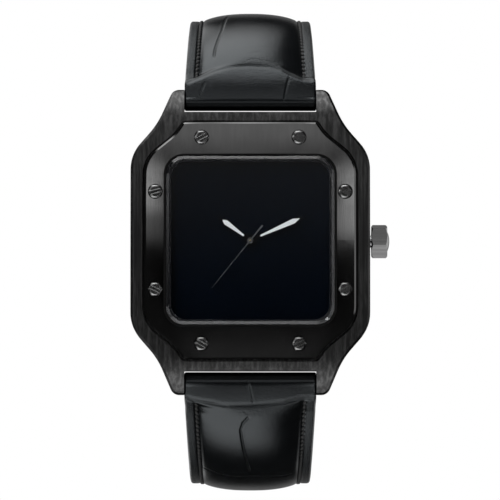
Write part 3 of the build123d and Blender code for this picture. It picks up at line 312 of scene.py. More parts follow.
def crease_relief(x, s, creases):
    """Depth of the creases at places: a valley with a low lip on each side."""
    depth = np.zeros(np.broadcast(x, s).shape)
    for line, deepest, wide in creases:
        width = crease_sharpness * wide
        d = line_distance(x, s, line)
        ends = [np.hypot(x - x0, s - s0) for x0, s0 in (line[0], line[-1])]
        deep = deepest * smooth_step(0, crease_taper, np.minimum(*ends))
        depth += deep * np.exp(-((d / width) ** 2))
        depth -= crease_lip * deep * np.exp(-(((d - 2 * width) / width) ** 2))
    return depth


class Half:
    """One strap half: its route, outline and surface heights."""

    def __init__(self, name, route, creases, root_line, tip):
        self.name = name
        self.route = route
        self.length = route.length
        self.creases = creases
        self.root_line = root_line
        self.tip = tip

    def full_half(self, s):
        """Half the width without the tip, filling the lugs' gap at the root."""
        swell = root_swell * (1 - smooth_step(root_swell_end / 2, root_swell_end, s))
        return form_at(s, self.length)[0] / 2 + swell

    def half_width(self, s, inset=0.0):
        """Half the width at distances s, drawn in round the tip of the long half."""
        half = self.full_half(s) - inset
        if self.tip:
            beyond = s - (self.length - tip_radius)
            chord = np.sqrt(np.maximum((tip_radius - inset) ** 2 - beyond**2, 0.0))
            half = np.where(beyond > 0, np.minimum(half, chord), half)
        return half

    def side_distance(self, x, s):
        """Distance in from the outline."""
        d = self.full_half(s) - np.abs(x)
        if self.tip:
            beyond = s - (self.length - tip_radius)
            d = np.where(beyond > 0, np.minimum(d, tip_radius - np.hypot(x, beyond)), d)
        return np.maximum(d, 0)

    def beyond_root(self, x, s):
        """How far places lie beyond the crease of the root."""
        return s - np.interp(x, *zip(*self.root_line))

    def top(self, x, s):
        """Height of the outer leather: full width at the root, then a pad between margins."""
        width, edge, crown = form_at(s, self.length)
        d = self.side_distance(x, s)
        bend = width / 2 - margin_width
        q = np.minimum(np.abs(x) / bend, 1)
        pad = (1 - q**pad_roundness) ** pad_fullness
        sewn = edge + (crown - edge) * pad - rounding(edge_round, d)
        sewn = sewn - channel_depth * np.exp(-(((d - stitch_inset) / channel_width) ** 2))
        root = fold_height + fold_radius + root_rise * s
        root = root - root_side_drop * (np.abs(x) / (width / 2)) ** 4 - rounding(root_round, d)
        beyond = self.beyond_root(x, s)
        share = smooth_step(*root_blend, beyond)
        height = root * (1 - share) + sewn * share
        sides = smooth_step(*root_crease_sides, np.abs(x))
        deep = root_crease_middle + (root_crease_depth - root_crease_middle) * sides
        valley = np.exp(-((beyond / root_crease_width) ** 2))
        height = height - deep * valley * smooth_step(0, root_crease_fade, d)
        height = height - crease_relief(x, s, self.creases)
        if not self.tip:
            reach = np.clip(s - self.length, -buckle_fold_radius, 0)
            loop = buckle_fold_height + np.sqrt(buckle_fold_radius**2 - reach**2)
            height = np.maximum(height, loop - rounding(edge_round, d))
        return height

    def crease_shade_share(self, x, s):
        """How much painted shade a place gets, from 0 to 1: by the depth of the creases and along
        the root's crease.
        """
        depth = crease_relief(x, s, self.creases) / crease_full_shade
        sides = smooth_step(*root_crease_sides, np.abs(x))
        shade = root_shade_middle + (1 - root_shade_middle) * sides
        valley = np.exp(-((self.beyond_root(x, s) / root_shade_width) ** 2))
        return np.clip(np.maximum(depth, shade * valley), 0, 1)

    def wrinkle_share(self, x, s):
        """How finely wrinkled a place is: most just beyond the crease of the root."""
        beyond = self.beyond_root(x, s)
        (middle_x, middle_s), (reach_x, reach_s) = wrinkle_middle, wrinkle_reach
        near = np.exp(-(((beyond - middle_s) / reach_s) ** 2))
        near = near * np.exp(-(((x - middle_x) / reach_x) ** 2))
        d = self.side_distance(x, s)
        margin = margin_wrinkles * smooth_step(*margin_wrinkles_from, d)
        margin = margin * (1 - smooth_step(*margin_wrinkles_to, d))
        return np.maximum(near, margin * smooth_step(0, margin_wrinkles_start, beyond))

    def seam(self):
        """Points of the seam lines, in from the outline, as x and distance along."""
        start = np.interp(root_width / 2 - stitch_inset, *zip(*self.root_line)) + stitch_start
        if not self.tip:
            s = np.linspace(start, self.length - slot_reach, 400)
            x = self.half_width(s, stitch_inset)
            return [np.stack([-x, s], 1), np.stack([x, s], 1)]
        centre = self.length - tip_radius
        turn = np.linspace(0, pi, 120)
        s = np.linspace(start, centre, 400)
        x = self.half_width(s, stitch_inset)
        radius = tip_radius - stitch_inset
        arc = np.stack([radius * np.cos(turn), centre + radius * np.sin(turn)], 1)
        arc = arc[np.abs(arc[:, 0]) < x[-1]]
        side = np.stack([x, s], 1)
        return [np.concatenate([side, arc, (side * (-1, 1))[::-1]])]


def across(half, spacing):
    """Places of the columns across a strap, for each half width given."""
    band = np.minimum(edge_band, edge_band_share * half)[:, None]
    outer = half[:, None] - np.array(edge_columns)[None, :] / edge_band * band
    count = int(root_width / 2 / spacing)
    inner = np.linspace(1, -1, 2 * count + 1)[None, :] * (half[:, None] - band)
    return np.concatenate([-outer, -inner, outer[:, ::-1]], 1)


def tip_rows(end, count):
    """Distances of rows round the tip, closer towards its end."""
    return end - tip_radius + tip_radius * np.sin(np.linspace(0, tip_sweep, count)[1:])


def along(strap):
    """Distances of the leather's rows along a strap half."""
    end = strap.length
    last = end - tip_radius if strap.tip else end - under_fold - step_width
    far_rows = int((last - near_rows_end) / far_row_spacing) + 1
    return np.concatenate([
        np.linspace(0, under_fold, fold_rows),
        np.arange(under_fold + step_width, near_rows_end, row_spacing),
        np.linspace(near_rows_end, last, far_rows),
        tip_rows(end, 40) if strap.tip else np.linspace(end - under_fold, end, fold_rows),
    ])


def mesh_object(name, points, faces, smooth=True):
    """A mesh object from row-frame points and faces."""
    mesh = bpy.data.meshes.new(name)
    mesh.from_pydata([tuple(p) for p in points], [], faces)
    mesh.validate()
    mesh.update()
    if smooth:
        mesh.polygons.foreach_set("use_smooth", [True] * len(mesh.polygons))
    made = bpy.data.objects.new(name, mesh)
    bpy.context.scene.collection.objects.link(made)
    return made


def wrapped_body(name, route, x, s, top, bottom, folds=(), back_share=1.0):
    """A closed body from rows of heights, folded round at its ends; a share flattens the first."""
    rows, columns = x.shape
    grids = [(x, s, top)]
    fold_at = {which: (height, radius, drop) for which, height, radius, drop in folds}

    def fold(which, row):
        height, radius, drop = fold_at[which]
        turn = np.linspace(0, pi, fold_steps)[1:-1][:, None]
        away = 1 if which == "end" else -back_share
        reach = radius - drop[None, :]
        middle = s[row, 0]
        flat = np.broadcast_to(x[row][None, :], (len(turn), columns))
        return flat, middle + away * reach * np.sin(turn), height + reach * np.cos(turn)

    if "end" in fold_at:
        grids.append(fold("end", rows - 1))
    grids.append((x[::-1], s[::-1], bottom[::-1]))
    if "start" in fold_at:
        back = fold("start", 0)
        grids.append(tuple(part[::-1] for part in back))
    loops = [np.concatenate([grid[k] for grid in grids]) for k in range(3)]
    total = loops[0].shape[0]
    points = route.place(*[loop.reshape(-1) for loop in loops])
    end_rows = len(grids[1][0]) if "end" in fold_at else 0

    def at(row, column):
        return (row % total) * columns + column

    faces = [
        (at(r, c), at(r, c + 1), at(r + 1, c + 1), at(r + 1, c))
        for r in range(total)
        for c in range(columns - 1)
    ]
    low = rows + end_rows
    for column in (0, columns - 1):
        sides = []
        for k in range(rows - 1):
            mate = low + rows - 1 - k
            sides.append((at(k, column), at(k + 1, column), at(mate - 1, column), at(mate, column)))
        if "end" in fold_at:
            sides.append(tuple(at(r, column) for r in range(rows - 1, low + 1)))
        if "start" in fold_at:
            sides.append(tuple(at(r, column) for r in range(low + rows - 1, total + 1)))
        faces += [f if column == 0 else f[::-1] for f in sides]
    if route.way > 0:
        faces = [f[::-1] for f in faces]
    return mesh_object(name, points, faces), loops


def paint_attribute(piece, name, values):
    """Stores one number at each vertex for the piece's material."""
    layer = piece.data.attributes.new(name, "FLOAT", "POINT")
    layer.data.foreach_set("value", np.asarray(values, np.float32).ravel())


def cut(piece, cutters):
    """Takes cutter bodies out of a piece."""
    for cutter in cutters:
        modifier = piece.modifiers.new("cut", "BOOLEAN")
        modifier.operation = "DIFFERENCE"
        modifier.solver = "EXACT"
        modifier.object = cutter
    view_layer = bpy.context.view_layer
    view_layer.update()
    graph = bpy.context.evaluated_depsgraph_get()
    mesh = bpy.data.meshes.new_from_object(piece.evaluated_get(graph))
    piece.modifiers.clear()
    old = piece.data
    piece.data = mesh
    bpy.data.meshes.remove(old)
    for cutter in cutters:
        bpy.data.objects.remove(cutter)


def places_about(route, middle, x, ds, h):
    """Row-frame points in the flat about one distance: ds along the heading there, h above it."""
    y, level, heading = (float(v) for v in route.at(middle))
    up = y + np.cos(heading) * ds - np.sin(heading) * h
    out = level + np.sin(heading) * ds + np.cos(heading) * h
    return np.stack([x, -out, route.way * up], -1) * mm


def prism_faces(count):
    """Faces of a prism between two rings of points."""
    faces = [tuple(range(count)), tuple(range(2 * count - 1, count - 1, -1))]
    return faces + [(k, count + k, count + (k + 1) % count, (k + 1) % count) for k in range(count)]


def prism_cutter(route, outline, middle, low, high):
    """A cutter whose outline lies in the strap's surface, about a distance along it."""
    count = len(outline)
    x, ds = np.array(outline * 2).T
    h = np.array([low] * count + [high] * count)
    return closed_cutter(places_about(route, middle, x, ds, h), prism_faces(count))


def rod_cutter(route, middle, height, radius, reach):
    """A round cutter across the strap."""
    turn = np.linspace(0, 2 * pi, 33)[:-1]
    ds = radius * np.cos(turn)
    h = height + radius * np.sin(turn)
    ends = [np.full(ds.shape, side * reach) for side in (-1, 1)]
    rings = [places_about(route, middle, x, ds, h) for x in ends]
    return closed_cutter(np.concatenate(rings), prism_faces(len(turn)))


def closed_cutter(points, faces):
    """A cutter with its faces turned outwards."""
    cutter = mesh_object("cutter", points, faces, smooth=False)
    bpy.context.view_layer.objects.active = cutter
    cutter.select_set(True)
    bpy.ops.object.mode_set(mode="EDIT")
    bpy.ops.mesh.select_all(action="SELECT")
    bpy.ops.mesh.normals_make_consistent(inside=False)
    bpy.ops.object.mode_set(mode="OBJECT")
    cutter.select_set(False)
    cutter.hide_render = True
    return cutter


def circle_outline(radius, count=32):
    """Points of a circle."""
    turns = [2 * pi * k / count for k in range(count)]
    return [(radius * cos(turn), radius * sin(turn)) for turn in turns]


def upper_leather(strap):
    """The outer leather of a half, padded, creased and folded round its bar."""
    route = strap.route
    s = along(strap)
    x = across(strap.half_width(s), column_spacing)
    s = np.broadcast_to(s[:, None], x.shape)
    top = strap.top(x, s)
    d = strap.side_distance(x, s)
    folded = s < under_fold + step_width / 2
    if not strap.tip:
        folded = folded | (s > strap.length - under_fold - step_width / 2)
    bottom = np.where(folded, -lining_thickness + rounding(edge_round, d), -glue_line)
    folds = [("start", fold_height, fold_radius, rounding(root_round, d[0]))]
    bottom[0] = fold_height - fold_radius + rounding(root_round, d[0])
    if not strap.tip:
        drop = rounding(edge_round, d[-1])
        folds.append(("end", buckle_fold_height, buckle_fold_radius, drop))
    back_share = 1.0 if strap.tip else short_back_share
    piece, loops = wrapped_body(strap.name + "_upper", route, x, s, top, bottom, folds, back_share)
    outer = loops[2] > 0.1
    # The crease mask is painted shade for the outer leather's colour, in the creases and along the
    # root's crease
    share = np.where(outer, strap.crease_shade_share(loops[0], loops[1]), 0)
    paint_attribute(piece, "crease_shade", share)
    paint_attribute(piece, "wrinkle", np.where(outer, strap.wrinkle_share(loops[0], loops[1]), 0))
    reach = root_width
    cutters = [rod_cutter(route, 0, fold_height, bore_radius, reach)]
    if strap.tip:
        cutters += hole_cutters(strap)
    else:
        cutters.append(rod_cutter(route, strap.length, buckle_fold_height, bore_radius, reach))
        cutters.append(slot_cutter(strap))
    cut(piece, cutters)
    return piece


def lower_lining(strap):
    """The lining on the wrist side, with its lower edges rounded."""
    start = under_fold + step_width
    end = strap.length - (lining_inset if strap.tip else under_fold + step_width)
    body = np.linspace(start, end - (tip_radius if strap.tip else 0), 200)
    if strap.tip:
        body = np.concatenate([body, tip_rows(end, 36)])
    x = across(strap.half_width(body, lining_inset), lining_column_spacing)
    s = np.broadcast_to(body[:, None], x.shape)
    d = np.maximum(strap.side_distance(x, s) - lining_inset, 0)
    top = np.full(x.shape, -glue_line - 0.01)
    bottom = -lining_thickness + rounding(edge_round, d)
    bottom = bottom + channel_depth * np.exp(-(((d - stitch_inset) / channel_width) ** 2))
    piece, _ = wrapped_body(strap.name + "_lower", strap.route, x, s, top, bottom)
    if strap.tip:
        cut(piece, hole_cutters(strap))
    else:
        cut(piece, [slot_cutter(strap)])
    return piece


def hole_cutters(strap):
    """Round punches for the buckle holes of the long half."""
    return [
        prism_cutter(strap.route, circle_outline(hole_radius),
                     strap.length - first_hole - k * hole_spacing, -3.0, 5.0)
        for k in range(hole_count)
    ]


def slot_cutter(strap):
    """The opening for the tongue at the buckle end."""
    half = slot_width / 2
    outline = [(-half, -slot_reach), (half, -slot_reach), (half, 3.0), (-half, 3.0)]
    return prism_cutter(strap.route, outline, strap.length, -4.0, 6.0)


def stitch_places(seam):
    """Places along a seam line, each with its unit heading."""
    run = np.concatenate([[0], np.cumsum(np.hypot(*np.diff(seam, axis=0).T))])
    for k in range(int(run[-1] / stitch_pitch)):
        place = (k + 0.5) * stitch_pitch
        x0, s0 = (np.interp(place, run, seam[:, axis]) for axis in (0, 1))
        x1, s1 = (np.interp(place + 0.05, run, seam[:, axis]) for axis in (0, 1))
        way = np.array([x1 - x0, s1 - s0])
        yield x0, s0, way / np.hypot(*way)


def stitches(strap):
    """Slanted threads along the seams, on the leather and on the lining."""
    turn = np.linspace(0, 2 * pi, stitch_sides + 1)[:-1]
    share = np.linspace(-1, 1, stitch_rings)
    bulge = np.sqrt(np.maximum(1 - share**4, 0.02))
    wide, tall = stitch_flatness
    lined = under_fold + 0.6, strap.length - under_fold - 0.6
    points, faces = [], []
    for seam, side in ((seam, side) for seam in strap.seam() for side in (1, -1)):
        for x0, s0, way in stitch_places(seam):
            if side > 0:
                level = float(strap.top(np.array(x0), np.array(s0))) + stitch_lift
            elif lined[0] < s0 < lined[1] or strap.tip:
                level = -lining_thickness + channel_depth - stitch_sink
            else:
                continue
            slant = stitch_slant * (1 if x0 * side > 0 else -1)
            way = np.array([way[0] * cos(slant) - way[1] * sin(slant),
                            way[0] * sin(slant) + way[1] * cos(slant)])
            normal = np.array([-way[1], way[0]])
            first = len(points)
            for place, size in zip(share, bulge):
                middle = np.array([x0, s0]) + way * place * stitch_length / 2
                for angle in turn:
                    off = stitch_radius * size * cos(angle) * wide
                    h = level + stitch_radius * size * sin(angle) * tall
                    h -= stitch_end_drop * side * place**2
                    points.append((*(middle + normal * off), h))
            for ring in range(stitch_rings - 1):
                low = first + ring * stitch_sides
                for a in range(stitch_sides):
                    b = (a + 1) % stitch_sides
                    faces.append((low + a, low + b, low + stitch_sides + b, low + stitch_sides + a))
            faces.append(tuple(first + a for a in reversed(range(stitch_sides))))
            last = first + (stitch_rings - 1) * stitch_sides
            faces.append(tuple(last + a for a in range(stitch_sides)))
    x, s, h = np.array(points).T
    if strap.route.way < 0:
        faces = [f[::-1] for f in faces]
    return mesh_object(strap.name + "_thread", strap.route.place(x, s, h), faces)


def rounded_rectangle(wide, tall, corner, steps):
    """Points round a rectangle of half sizes wide and tall with rounded corners."""
    points = []
    for quarter, (sx, sy) in enumerate(((1, 1), (-1, 1), (-1, -1), (1, -1))):
        for k in range(steps + 1):
            angle = pi / 2 * (quarter + k / steps)
            points.append((sx * (wide - corner) + corner * cos(angle),
                           sy * (tall - corner) + corner * sin(angle)))
    return points


def keeper_band_piece(name, strap, distance):
    """A leather keeper: a soft-edged band bent round the strap."""
    middle = (keeper_low + keeper_high) / 2
    tall = (keeper_high - keeper_low) / 2 + keeper_wall / 2
    wide = keeper_half + keeper_wall / 2
    path = rounded_rectangle(wide, tall, keeper_corner + keeper_wall / 2 + keeper_corner_ease, 8)
    dense = []
    for (x0, h0), (x1, h1) in zip(path, path[1:] + path[:1]):
        steps = max(1, int(np.hypot(x1 - x0, h1 - h0) / keeper_point_spacing))
        dense += [(x0 + (x1 - x0) * k / steps, h0 + (h1 - h0) * k / steps) for k in range(steps)]
    dense = np.array(dense)
    tangent = np.roll(dense, -1, 0) - np.roll(dense, 1, 0)
    tangent /= np.hypot(*tangent.T)[:, None]
    outward = np.stack([tangent[:, 1], -tangent[:, 0]], 1)
    bow = keeper_bow * np.maximum(0, 1 - (dense[:, 0] / wide) ** 2) * (dense[:, 1] > 0)
    half_band = keeper_band / 2
    u, v = np.array(rounded_rectangle(half_band, keeper_wall / 2, keeper_edge_round, 4)).T
    lift = v + np.where(v < 0, 0, keeper_swell * (1 - (u / half_band) ** 2))
    rise = lift[None, :] + bow[:, None]
    x, h = (dense[:, k, None] + outward[:, k, None] * rise for k in (0, 1))
    points = places_about(strap.route, strap.length - distance, x, u[None, :], h + middle)
    rows, columns = x.shape
    faces = [
        (r * columns + c, r * columns + (c + 1) % columns,
         (r + 1) % rows * columns + (c + 1) % columns, (r + 1) % rows * columns + c)
        for r in range(rows)
        for c in range(columns)
    ]
    return mesh_object(name, points.reshape(-1, 3), faces)


# Materials

class Nodes:
    """A node tree, built step by step."""

    def __init__(self, tree):
        self.tree = tree

    def add(self, kind, **settings):
        """Adds a node with its settings."""
        made = self.tree.nodes.new(kind)
        for key, value in settings.items():
            setattr(made, key, value)
        return made

    def feed(self, socket, value):
        """Joins a socket to another node's output, or gives it a fixed value."""
        if isinstance(value, bpy.types.NodeSocket):
            self.tree.links.new(value, socket)
        else:
            socket.default_value = value

    def step(self, operation, *values):
        """One arithmetic step."""
        made = self.add("ShaderNodeMath", operation=operation)
        for socket, value in zip(made.inputs, values):
            self.feed(socket, value)
        return made.outputs["Value"]

    def spread(self, value, low, high, out_low=0.0, out_high=1.0, smooth=False):
        """Maps a range of a value to another."""
        made = self.add("ShaderNodeMapRange")
        if smooth:
            made.interpolation_type = "SMOOTHSTEP"
        for socket, number in zip(made.inputs, (value, low, high, out_low, out_high)):
            self.feed(socket, number)
        return made.outputs["Result"]


class Shader(Nodes):
    """A procedural material whose patterns are sized in millimetres on the object."""

    def __init__(self, name):
        self.material = bpy.data.materials.new(name)
        self.material.use_nodes = True
        super().__init__(self.material.node_tree)
        self.surface = self.tree.nodes["Principled BSDF"]
        self.output = self.tree.nodes["Material Output"]
        coordinates = self.add("ShaderNodeTexCoord").outputs["Object"]
        self.place = self.stretch(coordinates, (1 / mm,) * 3)

    def stretch(self, place, scale):
        """Coordinates scaled on each axis."""
        made = self.add("ShaderNodeVectorMath", operation="MULTIPLY")
        self.feed(made.inputs[0], place)
        made.inputs[1].default_value = scale
        return made.outputs["Vector"]

    def shade(self, value, low, high, dark, light):
        """A colour between dark and light as a value goes from low to high."""
        return self.blend(self.spread(value, low, high, 0, 1), dark, light)

    def noise(self, scale, detail=3.0, rough=0.55, stretch=(1, 1, 1)):
        """A soft noise; scale is in features per millimetre."""
        made = self.add("ShaderNodeTexNoise")
        self.feed(made.inputs["Vector"], self.stretch(self.place, stretch))
        made.inputs["Scale"].default_value = scale
        made.inputs["Detail"].default_value = detail
        made.inputs["Roughness"].default_value = rough
        return made.outputs["Fac"]

    def cells(self, scale):
        """Distance to the borders of cells such as grain; scale is in cells per millimetre."""
        made = self.add("ShaderNodeTexVoronoi", feature="DISTANCE_TO_EDGE")
        self.feed(made.inputs["Vector"], self.place)
        made.inputs["Scale"].default_value = scale
        return made.outputs["Distance"]

    def blend(self, share, first, second):
        """A mix of two colours."""
        made = self.add("ShaderNodeMix", data_type="RGBA")
        self.feed(made.inputs["Factor"], share)
        self.feed(made.inputs[6], first)
        self.feed(made.inputs[7], second)
        return made.outputs[2]

    def attribute(self, name):
        """A number stored on the mesh."""
        return self.add("ShaderNodeAttribute", attribute_name=name).outputs["Fac"]

    def axis(self, index):
        """One coordinate, in millimetres."""
        made = self.add("ShaderNodeSeparateXYZ")
        self.feed(made.inputs[0], self.place)
        return made.outputs[index]

    def softened(self, radius):
        """The surface's direction with its sharp edges rounded by a radius in millimetres."""
        made = self.add("ShaderNodeBevel", samples=4)
        made.inputs["Radius"].default_value = radius * mm
        return made.outputs["Normal"]

    def relief(self, height, depth, strength=1.0, normal=None):
        """Bumps the surface by a height between 0 and 1, times a depth in millimetres."""
        made = self.add("ShaderNodeBump")
        if normal is not None:
            self.feed(made.inputs["Normal"], normal)
        made.inputs["Strength"].default_value = strength
        made.inputs["Distance"].default_value = depth * mm
        self.feed(made.inputs["Height"], height)
        self.feed(self.surface.inputs["Normal"], made.outputs["Normal"])

    def finish(self, **values):
        """Sets sockets of the surface shader by name."""
        for name, value in values.items():
            self.feed(self.surface.inputs[name.replace("_", " ")], value)
        return self.material


def grey(value):
    """A neutral colour."""
    return (value, value, value, 1)


def scaled(colour, share):
    """A colour times a share."""
    return tuple(channel * share for channel in colour) + (1,)


def coated_metal(name, base, roughness, streaks, spots=0.02, contrast=0.25, soft_edge=0.0):
    """Black coated steel with streaks along the given stretch, faint wear and softened edges."""
    made = Shader(name)
    fine = made.noise(1.0, 2, 0.5, streaks)
    cloud = made.noise(0.12, 2)
    colour = made.shade(cloud, 0.3, 0.7, grey(base), grey(base * 1.25))
    broad = made.noise(1.0, 2, 0.5, tuple(0.16 * way for way in streaks))
    lines = made.step("ADD", made.step("MULTIPLY", fine, 0.35), made.step("MULTIPLY", broad, 0.65))
    colour = made.blend(made.spread(lines, 0.4, 0.62, 2 * contrast, 0), colour, grey(base * 0.3))
    colour = made.blend(made.spread(lines, 0.5, 0.68, 0, contrast), colour, grey(base * 2.4))
    wear = made.spread(made.noise(0.9, 5, 0.7), 0.64, 0.78, 0, spots)
    colour = made.blend(wear, colour, grey(0.25))
    rough = made.step("ADD", made.spread(fine, 0.3, 0.7, roughness * 0.8, roughness * 1.15),
                     made.spread(cloud, 0.3, 0.7, 0, 0.03))
    made.relief(fine, 0.004, 0.35, made.softened(soft_edge) if soft_edge else None)
    return made.finish(Base_Color=colour, Metallic=1.0, Roughness=rough)


def bare_metal(name, colour, roughness, streaks):
    """Turned, brushed or stamped metal."""
    made = Shader(name)
    fine = made.noise(1.0, 4, 0.6, streaks)
    cloud = made.noise(0.25, 3)
    shade = made.shade(cloud, 0.3, 0.75, scaled(colour, 0.78), (*colour, 1))
    rough = made.spread(fine, 0.3, 0.7, roughness * 0.75, roughness * 1.3)
    made.relief(fine, 0.004, 0.4)
    return made.finish(Base_Color=shade, Metallic=1.0, Roughness=rough)


def ring_brushed(name, colour, roughness):
    """Steel brushed in circles about the watch's centre."""
    made = Shader(name)
    x, z = made.axis(0), made.axis(2)
    squares = made.step("ADD", made.step("MULTIPLY", x, x), made.step("MULTIPLY", z, z))
    radius = made.step("SQRT", squares)
    lines = made.add("ShaderNodeTexNoise", noise_dimensions="1D")
    made.feed(lines.inputs["W"], made.step("MULTIPLY", radius, 3.5))
    lines.inputs["Detail"].default_value = 4
    fine = lines.outputs["Fac"]
    shade = made.shade(fine, 0.35, 0.65, scaled(colour, 0.7), (*colour, 1))
    made.relief(fine, 0.003, 0.15)
    rough = made.spread(made.noise(0.15), 0.3, 0.7, roughness * 0.95, roughness * 1.1)
    return made.finish(Base_Color=shade, Metallic=1.0, Roughness=rough)


def plastic(name, colour, roughness, grain=0.01, scale=3.0, shine=0.5):
    """Moulded plastic, rubber or lacquer with a fine grain."""
    made = Shader(name)
    cloud = made.noise(0.3, 2)
    shade = made.shade(cloud, 0.3, 0.7, scaled(colour, 0.85), (*colour, 1))
    fine = made.noise(scale, 4, 0.6)
    made.relief(fine, grain, 0.5)
    rough = made.spread(fine, 0.3, 0.7, roughness * 0.85, roughness * 1.15)
    return made.finish(Base_Color=shade, Roughness=rough, Specular_IOR_Level=shine)


def glossy_dial():
    """The dial's lacquer: near black with a little blue and the faintest orange peel."""
    made = Shader("dial_lacquer")
    cloud = made.noise(0.06, 2)
    colour = made.shade(cloud, 0.3, 0.7, (0.0006, 0.0014, 0.0032, 1), (0.0009, 0.0021, 0.0046, 1))
    made.relief(made.noise(0.2, 1), 0.001, 0.1)
    rough = made.spread(made.noise(0.08, 2), 0.3, 0.7, 0.06, 0.066)
    return made.finish(Base_Color=colour, Roughness=rough, IOR=1.5)


def crystal_glass():
    """Clear glass that lets light through to the dial, with faint smudges."""
    made = Shader("crystal_clear")
    smudge = made.noise(0.2, 4, 0.6)
    made.finish(
        Base_Color=(0.97, 0.985, 1.0, 1), Transmission_Weight=1.0, IOR=1.5,
        Roughness=made.spread(smudge, 0.45, 0.75, 0.0, 0.004),
    )
    clear = made.add("ShaderNodeBsdfTransparent")
    path = made.add("ShaderNodeLightPath")
    mix = made.add("ShaderNodeMixShader")
    made.feed(mix.inputs[0], path.outputs["Is Shadow Ray"])
    made.feed(mix.inputs[1], made.surface.outputs[0])
    made.feed(mix.inputs[2], clear.outputs[0])
    made.feed(made.output.inputs["Surface"], mix.outputs[0])
    return made.material


def leather(name, base, roughness, grain=0.02, scale=1.9, creased=True):
    """Black embossed leather: pores, soft clouds of gloss, wrinkles, and painted shade that darkens
    the creases.
    """
    made = Shader(name)
    pebble = made.spread(made.cells(scale), 0.0, 0.16, 0, 1, smooth=True)
    pores = made.spread(made.noise(scale * 2.6, 3), 0.35, 0.6, 0, 1)
    cloud = made.noise(0.16, 4, 0.6)
    soft = made.noise(0.45, 3)
    colour = made.shade(cloud, 0.35, 0.7, (*base, 1), scaled(base, 1.7))
    gloss = made.spread(cloud, 0.3, 0.75, roughness * 0.82, roughness * 1.2)
    grains = made.step("MULTIPLY", pebble, 0.35)
    grains = made.step("ADD", grains, made.step("MULTIPLY", pores, 0.3))
    height = made.step("ADD", grains, made.step("MULTIPLY", soft, 1.6))
    if creased:
        # Painted shade: the colour goes towards near black by the crease mask, and the creases are
        # rougher
        crease_shade = made.attribute("crease_shade")
        colour = made.blend(made.step("MULTIPLY", crease_shade, 0.75), colour, grey(0.001))
        gloss = made.step("ADD", gloss, made.step("MULTIPLY", crease_shade, 0.25))
        fine = made.noise(1.7, 5, 0.65, (1, 2.2, 2.2))
        fine = made.step("MULTIPLY", made.attribute("wrinkle"), fine)
        height = made.step("ADD", height, made.step("MULTIPLY", fine, 9.0))
    made.relief(height, grain, 0.6)
    return made.finish(Base_Color=colour, Roughness=gloss, IOR=leather_index,
                       Specular_Tint=leather_tint)


def thread():
    """Black waxed thread with twisted plies, with painted highlights on the plies and painted shade
    between them.
    """
    made = Shader("seam_thread")
    wave = made.add("ShaderNodeTexWave", wave_type="BANDS", bands_direction="DIAGONAL")
    made.feed(wave.inputs["Vector"], made.place)
    wave.inputs["Scale"].default_value = 2.6
    wave.inputs["Distortion"].default_value = 0.8
    ply_and_shade = wave.outputs["Fac"]
    # Painted highlight and shade: the colour is lighter on the plies' crests and darker between
    # them
    colour = made.blend(ply_and_shade, grey(0.01), grey(0.06))
    made.relief(ply_and_shade, 0.03, 0.8)
    rough = made.spread(made.noise(3), 0.3, 0.7, 0.45, 0.65)
    return made.finish(Base_Color=colour, Roughness=rough)


def printed_board():
    """Green board with paler tracks under the lacquer."""
    made = Shader("board_lacquer")
    tracks = made.spread(made.cells(0.7), 0.04, 0.07, 1, 0)
    colour = made.blend(tracks, (0.02, 0.12, 0.05, 1), (0.06, 0.25, 0.1, 1))
    made.relief(tracks, 0.02, 0.5)
    rough = made.spread(made.noise(1.0), 0.3, 0.7, 0.25, 0.35)
    return made.finish(Base_Color=colour, Roughness=rough)


def wound_wire():
    """Fine copper wire laid side by side along the coil, with painted highlights on the turns and
    painted shade in the grooves between them.
    """
    made = Shader("coil_wire")
    turns = made.step("SINE", made.step("MULTIPLY", made.axis(0), 2 * pi / 0.12))
    turns = made.spread(turns, -1, 1, 0, 1)
    # Painted highlight and shade: the copper is lighter on each turn's crest and darker in the
    # grooves
    colour = made.blend(turns, (0.28, 0.09, 0.03, 1), (0.72, 0.3, 0.12, 1))
    made.relief(turns, 0.03, 0.8)
    rough = made.spread(made.noise(0.8), 0.3, 0.7, 0.25, 0.4)
    return made.finish(Base_Color=colour, Metallic=1.0, Roughness=rough)


def pale_inlay():
    """The pale fill of the hands, a little grainy."""
    made = Shader("inlay_fill")
    fine = made.noise(9.0, 3)
    colour = made.blend(fine, (0.86, 0.88, 0.88, 1), (0.95, 0.97, 0.97, 1))
    made.relief(fine, 0.01, 0.5)
    rough = made.spread(made.noise(2.0), 0.3, 0.7, 0.5, 0.7)
    return made.finish(Base_Color=colour, Roughness=rough)


streaks_up = (12, 12, 0.06)
streaks_across = (0.3, 14, 14)
no_streaks = (5, 5, 5)
leather_colour = (0.0022, 0.0026, 0.0031)
leather_index = 1.55
leather_tint = (0.93, 1.0, 1.04, 1)

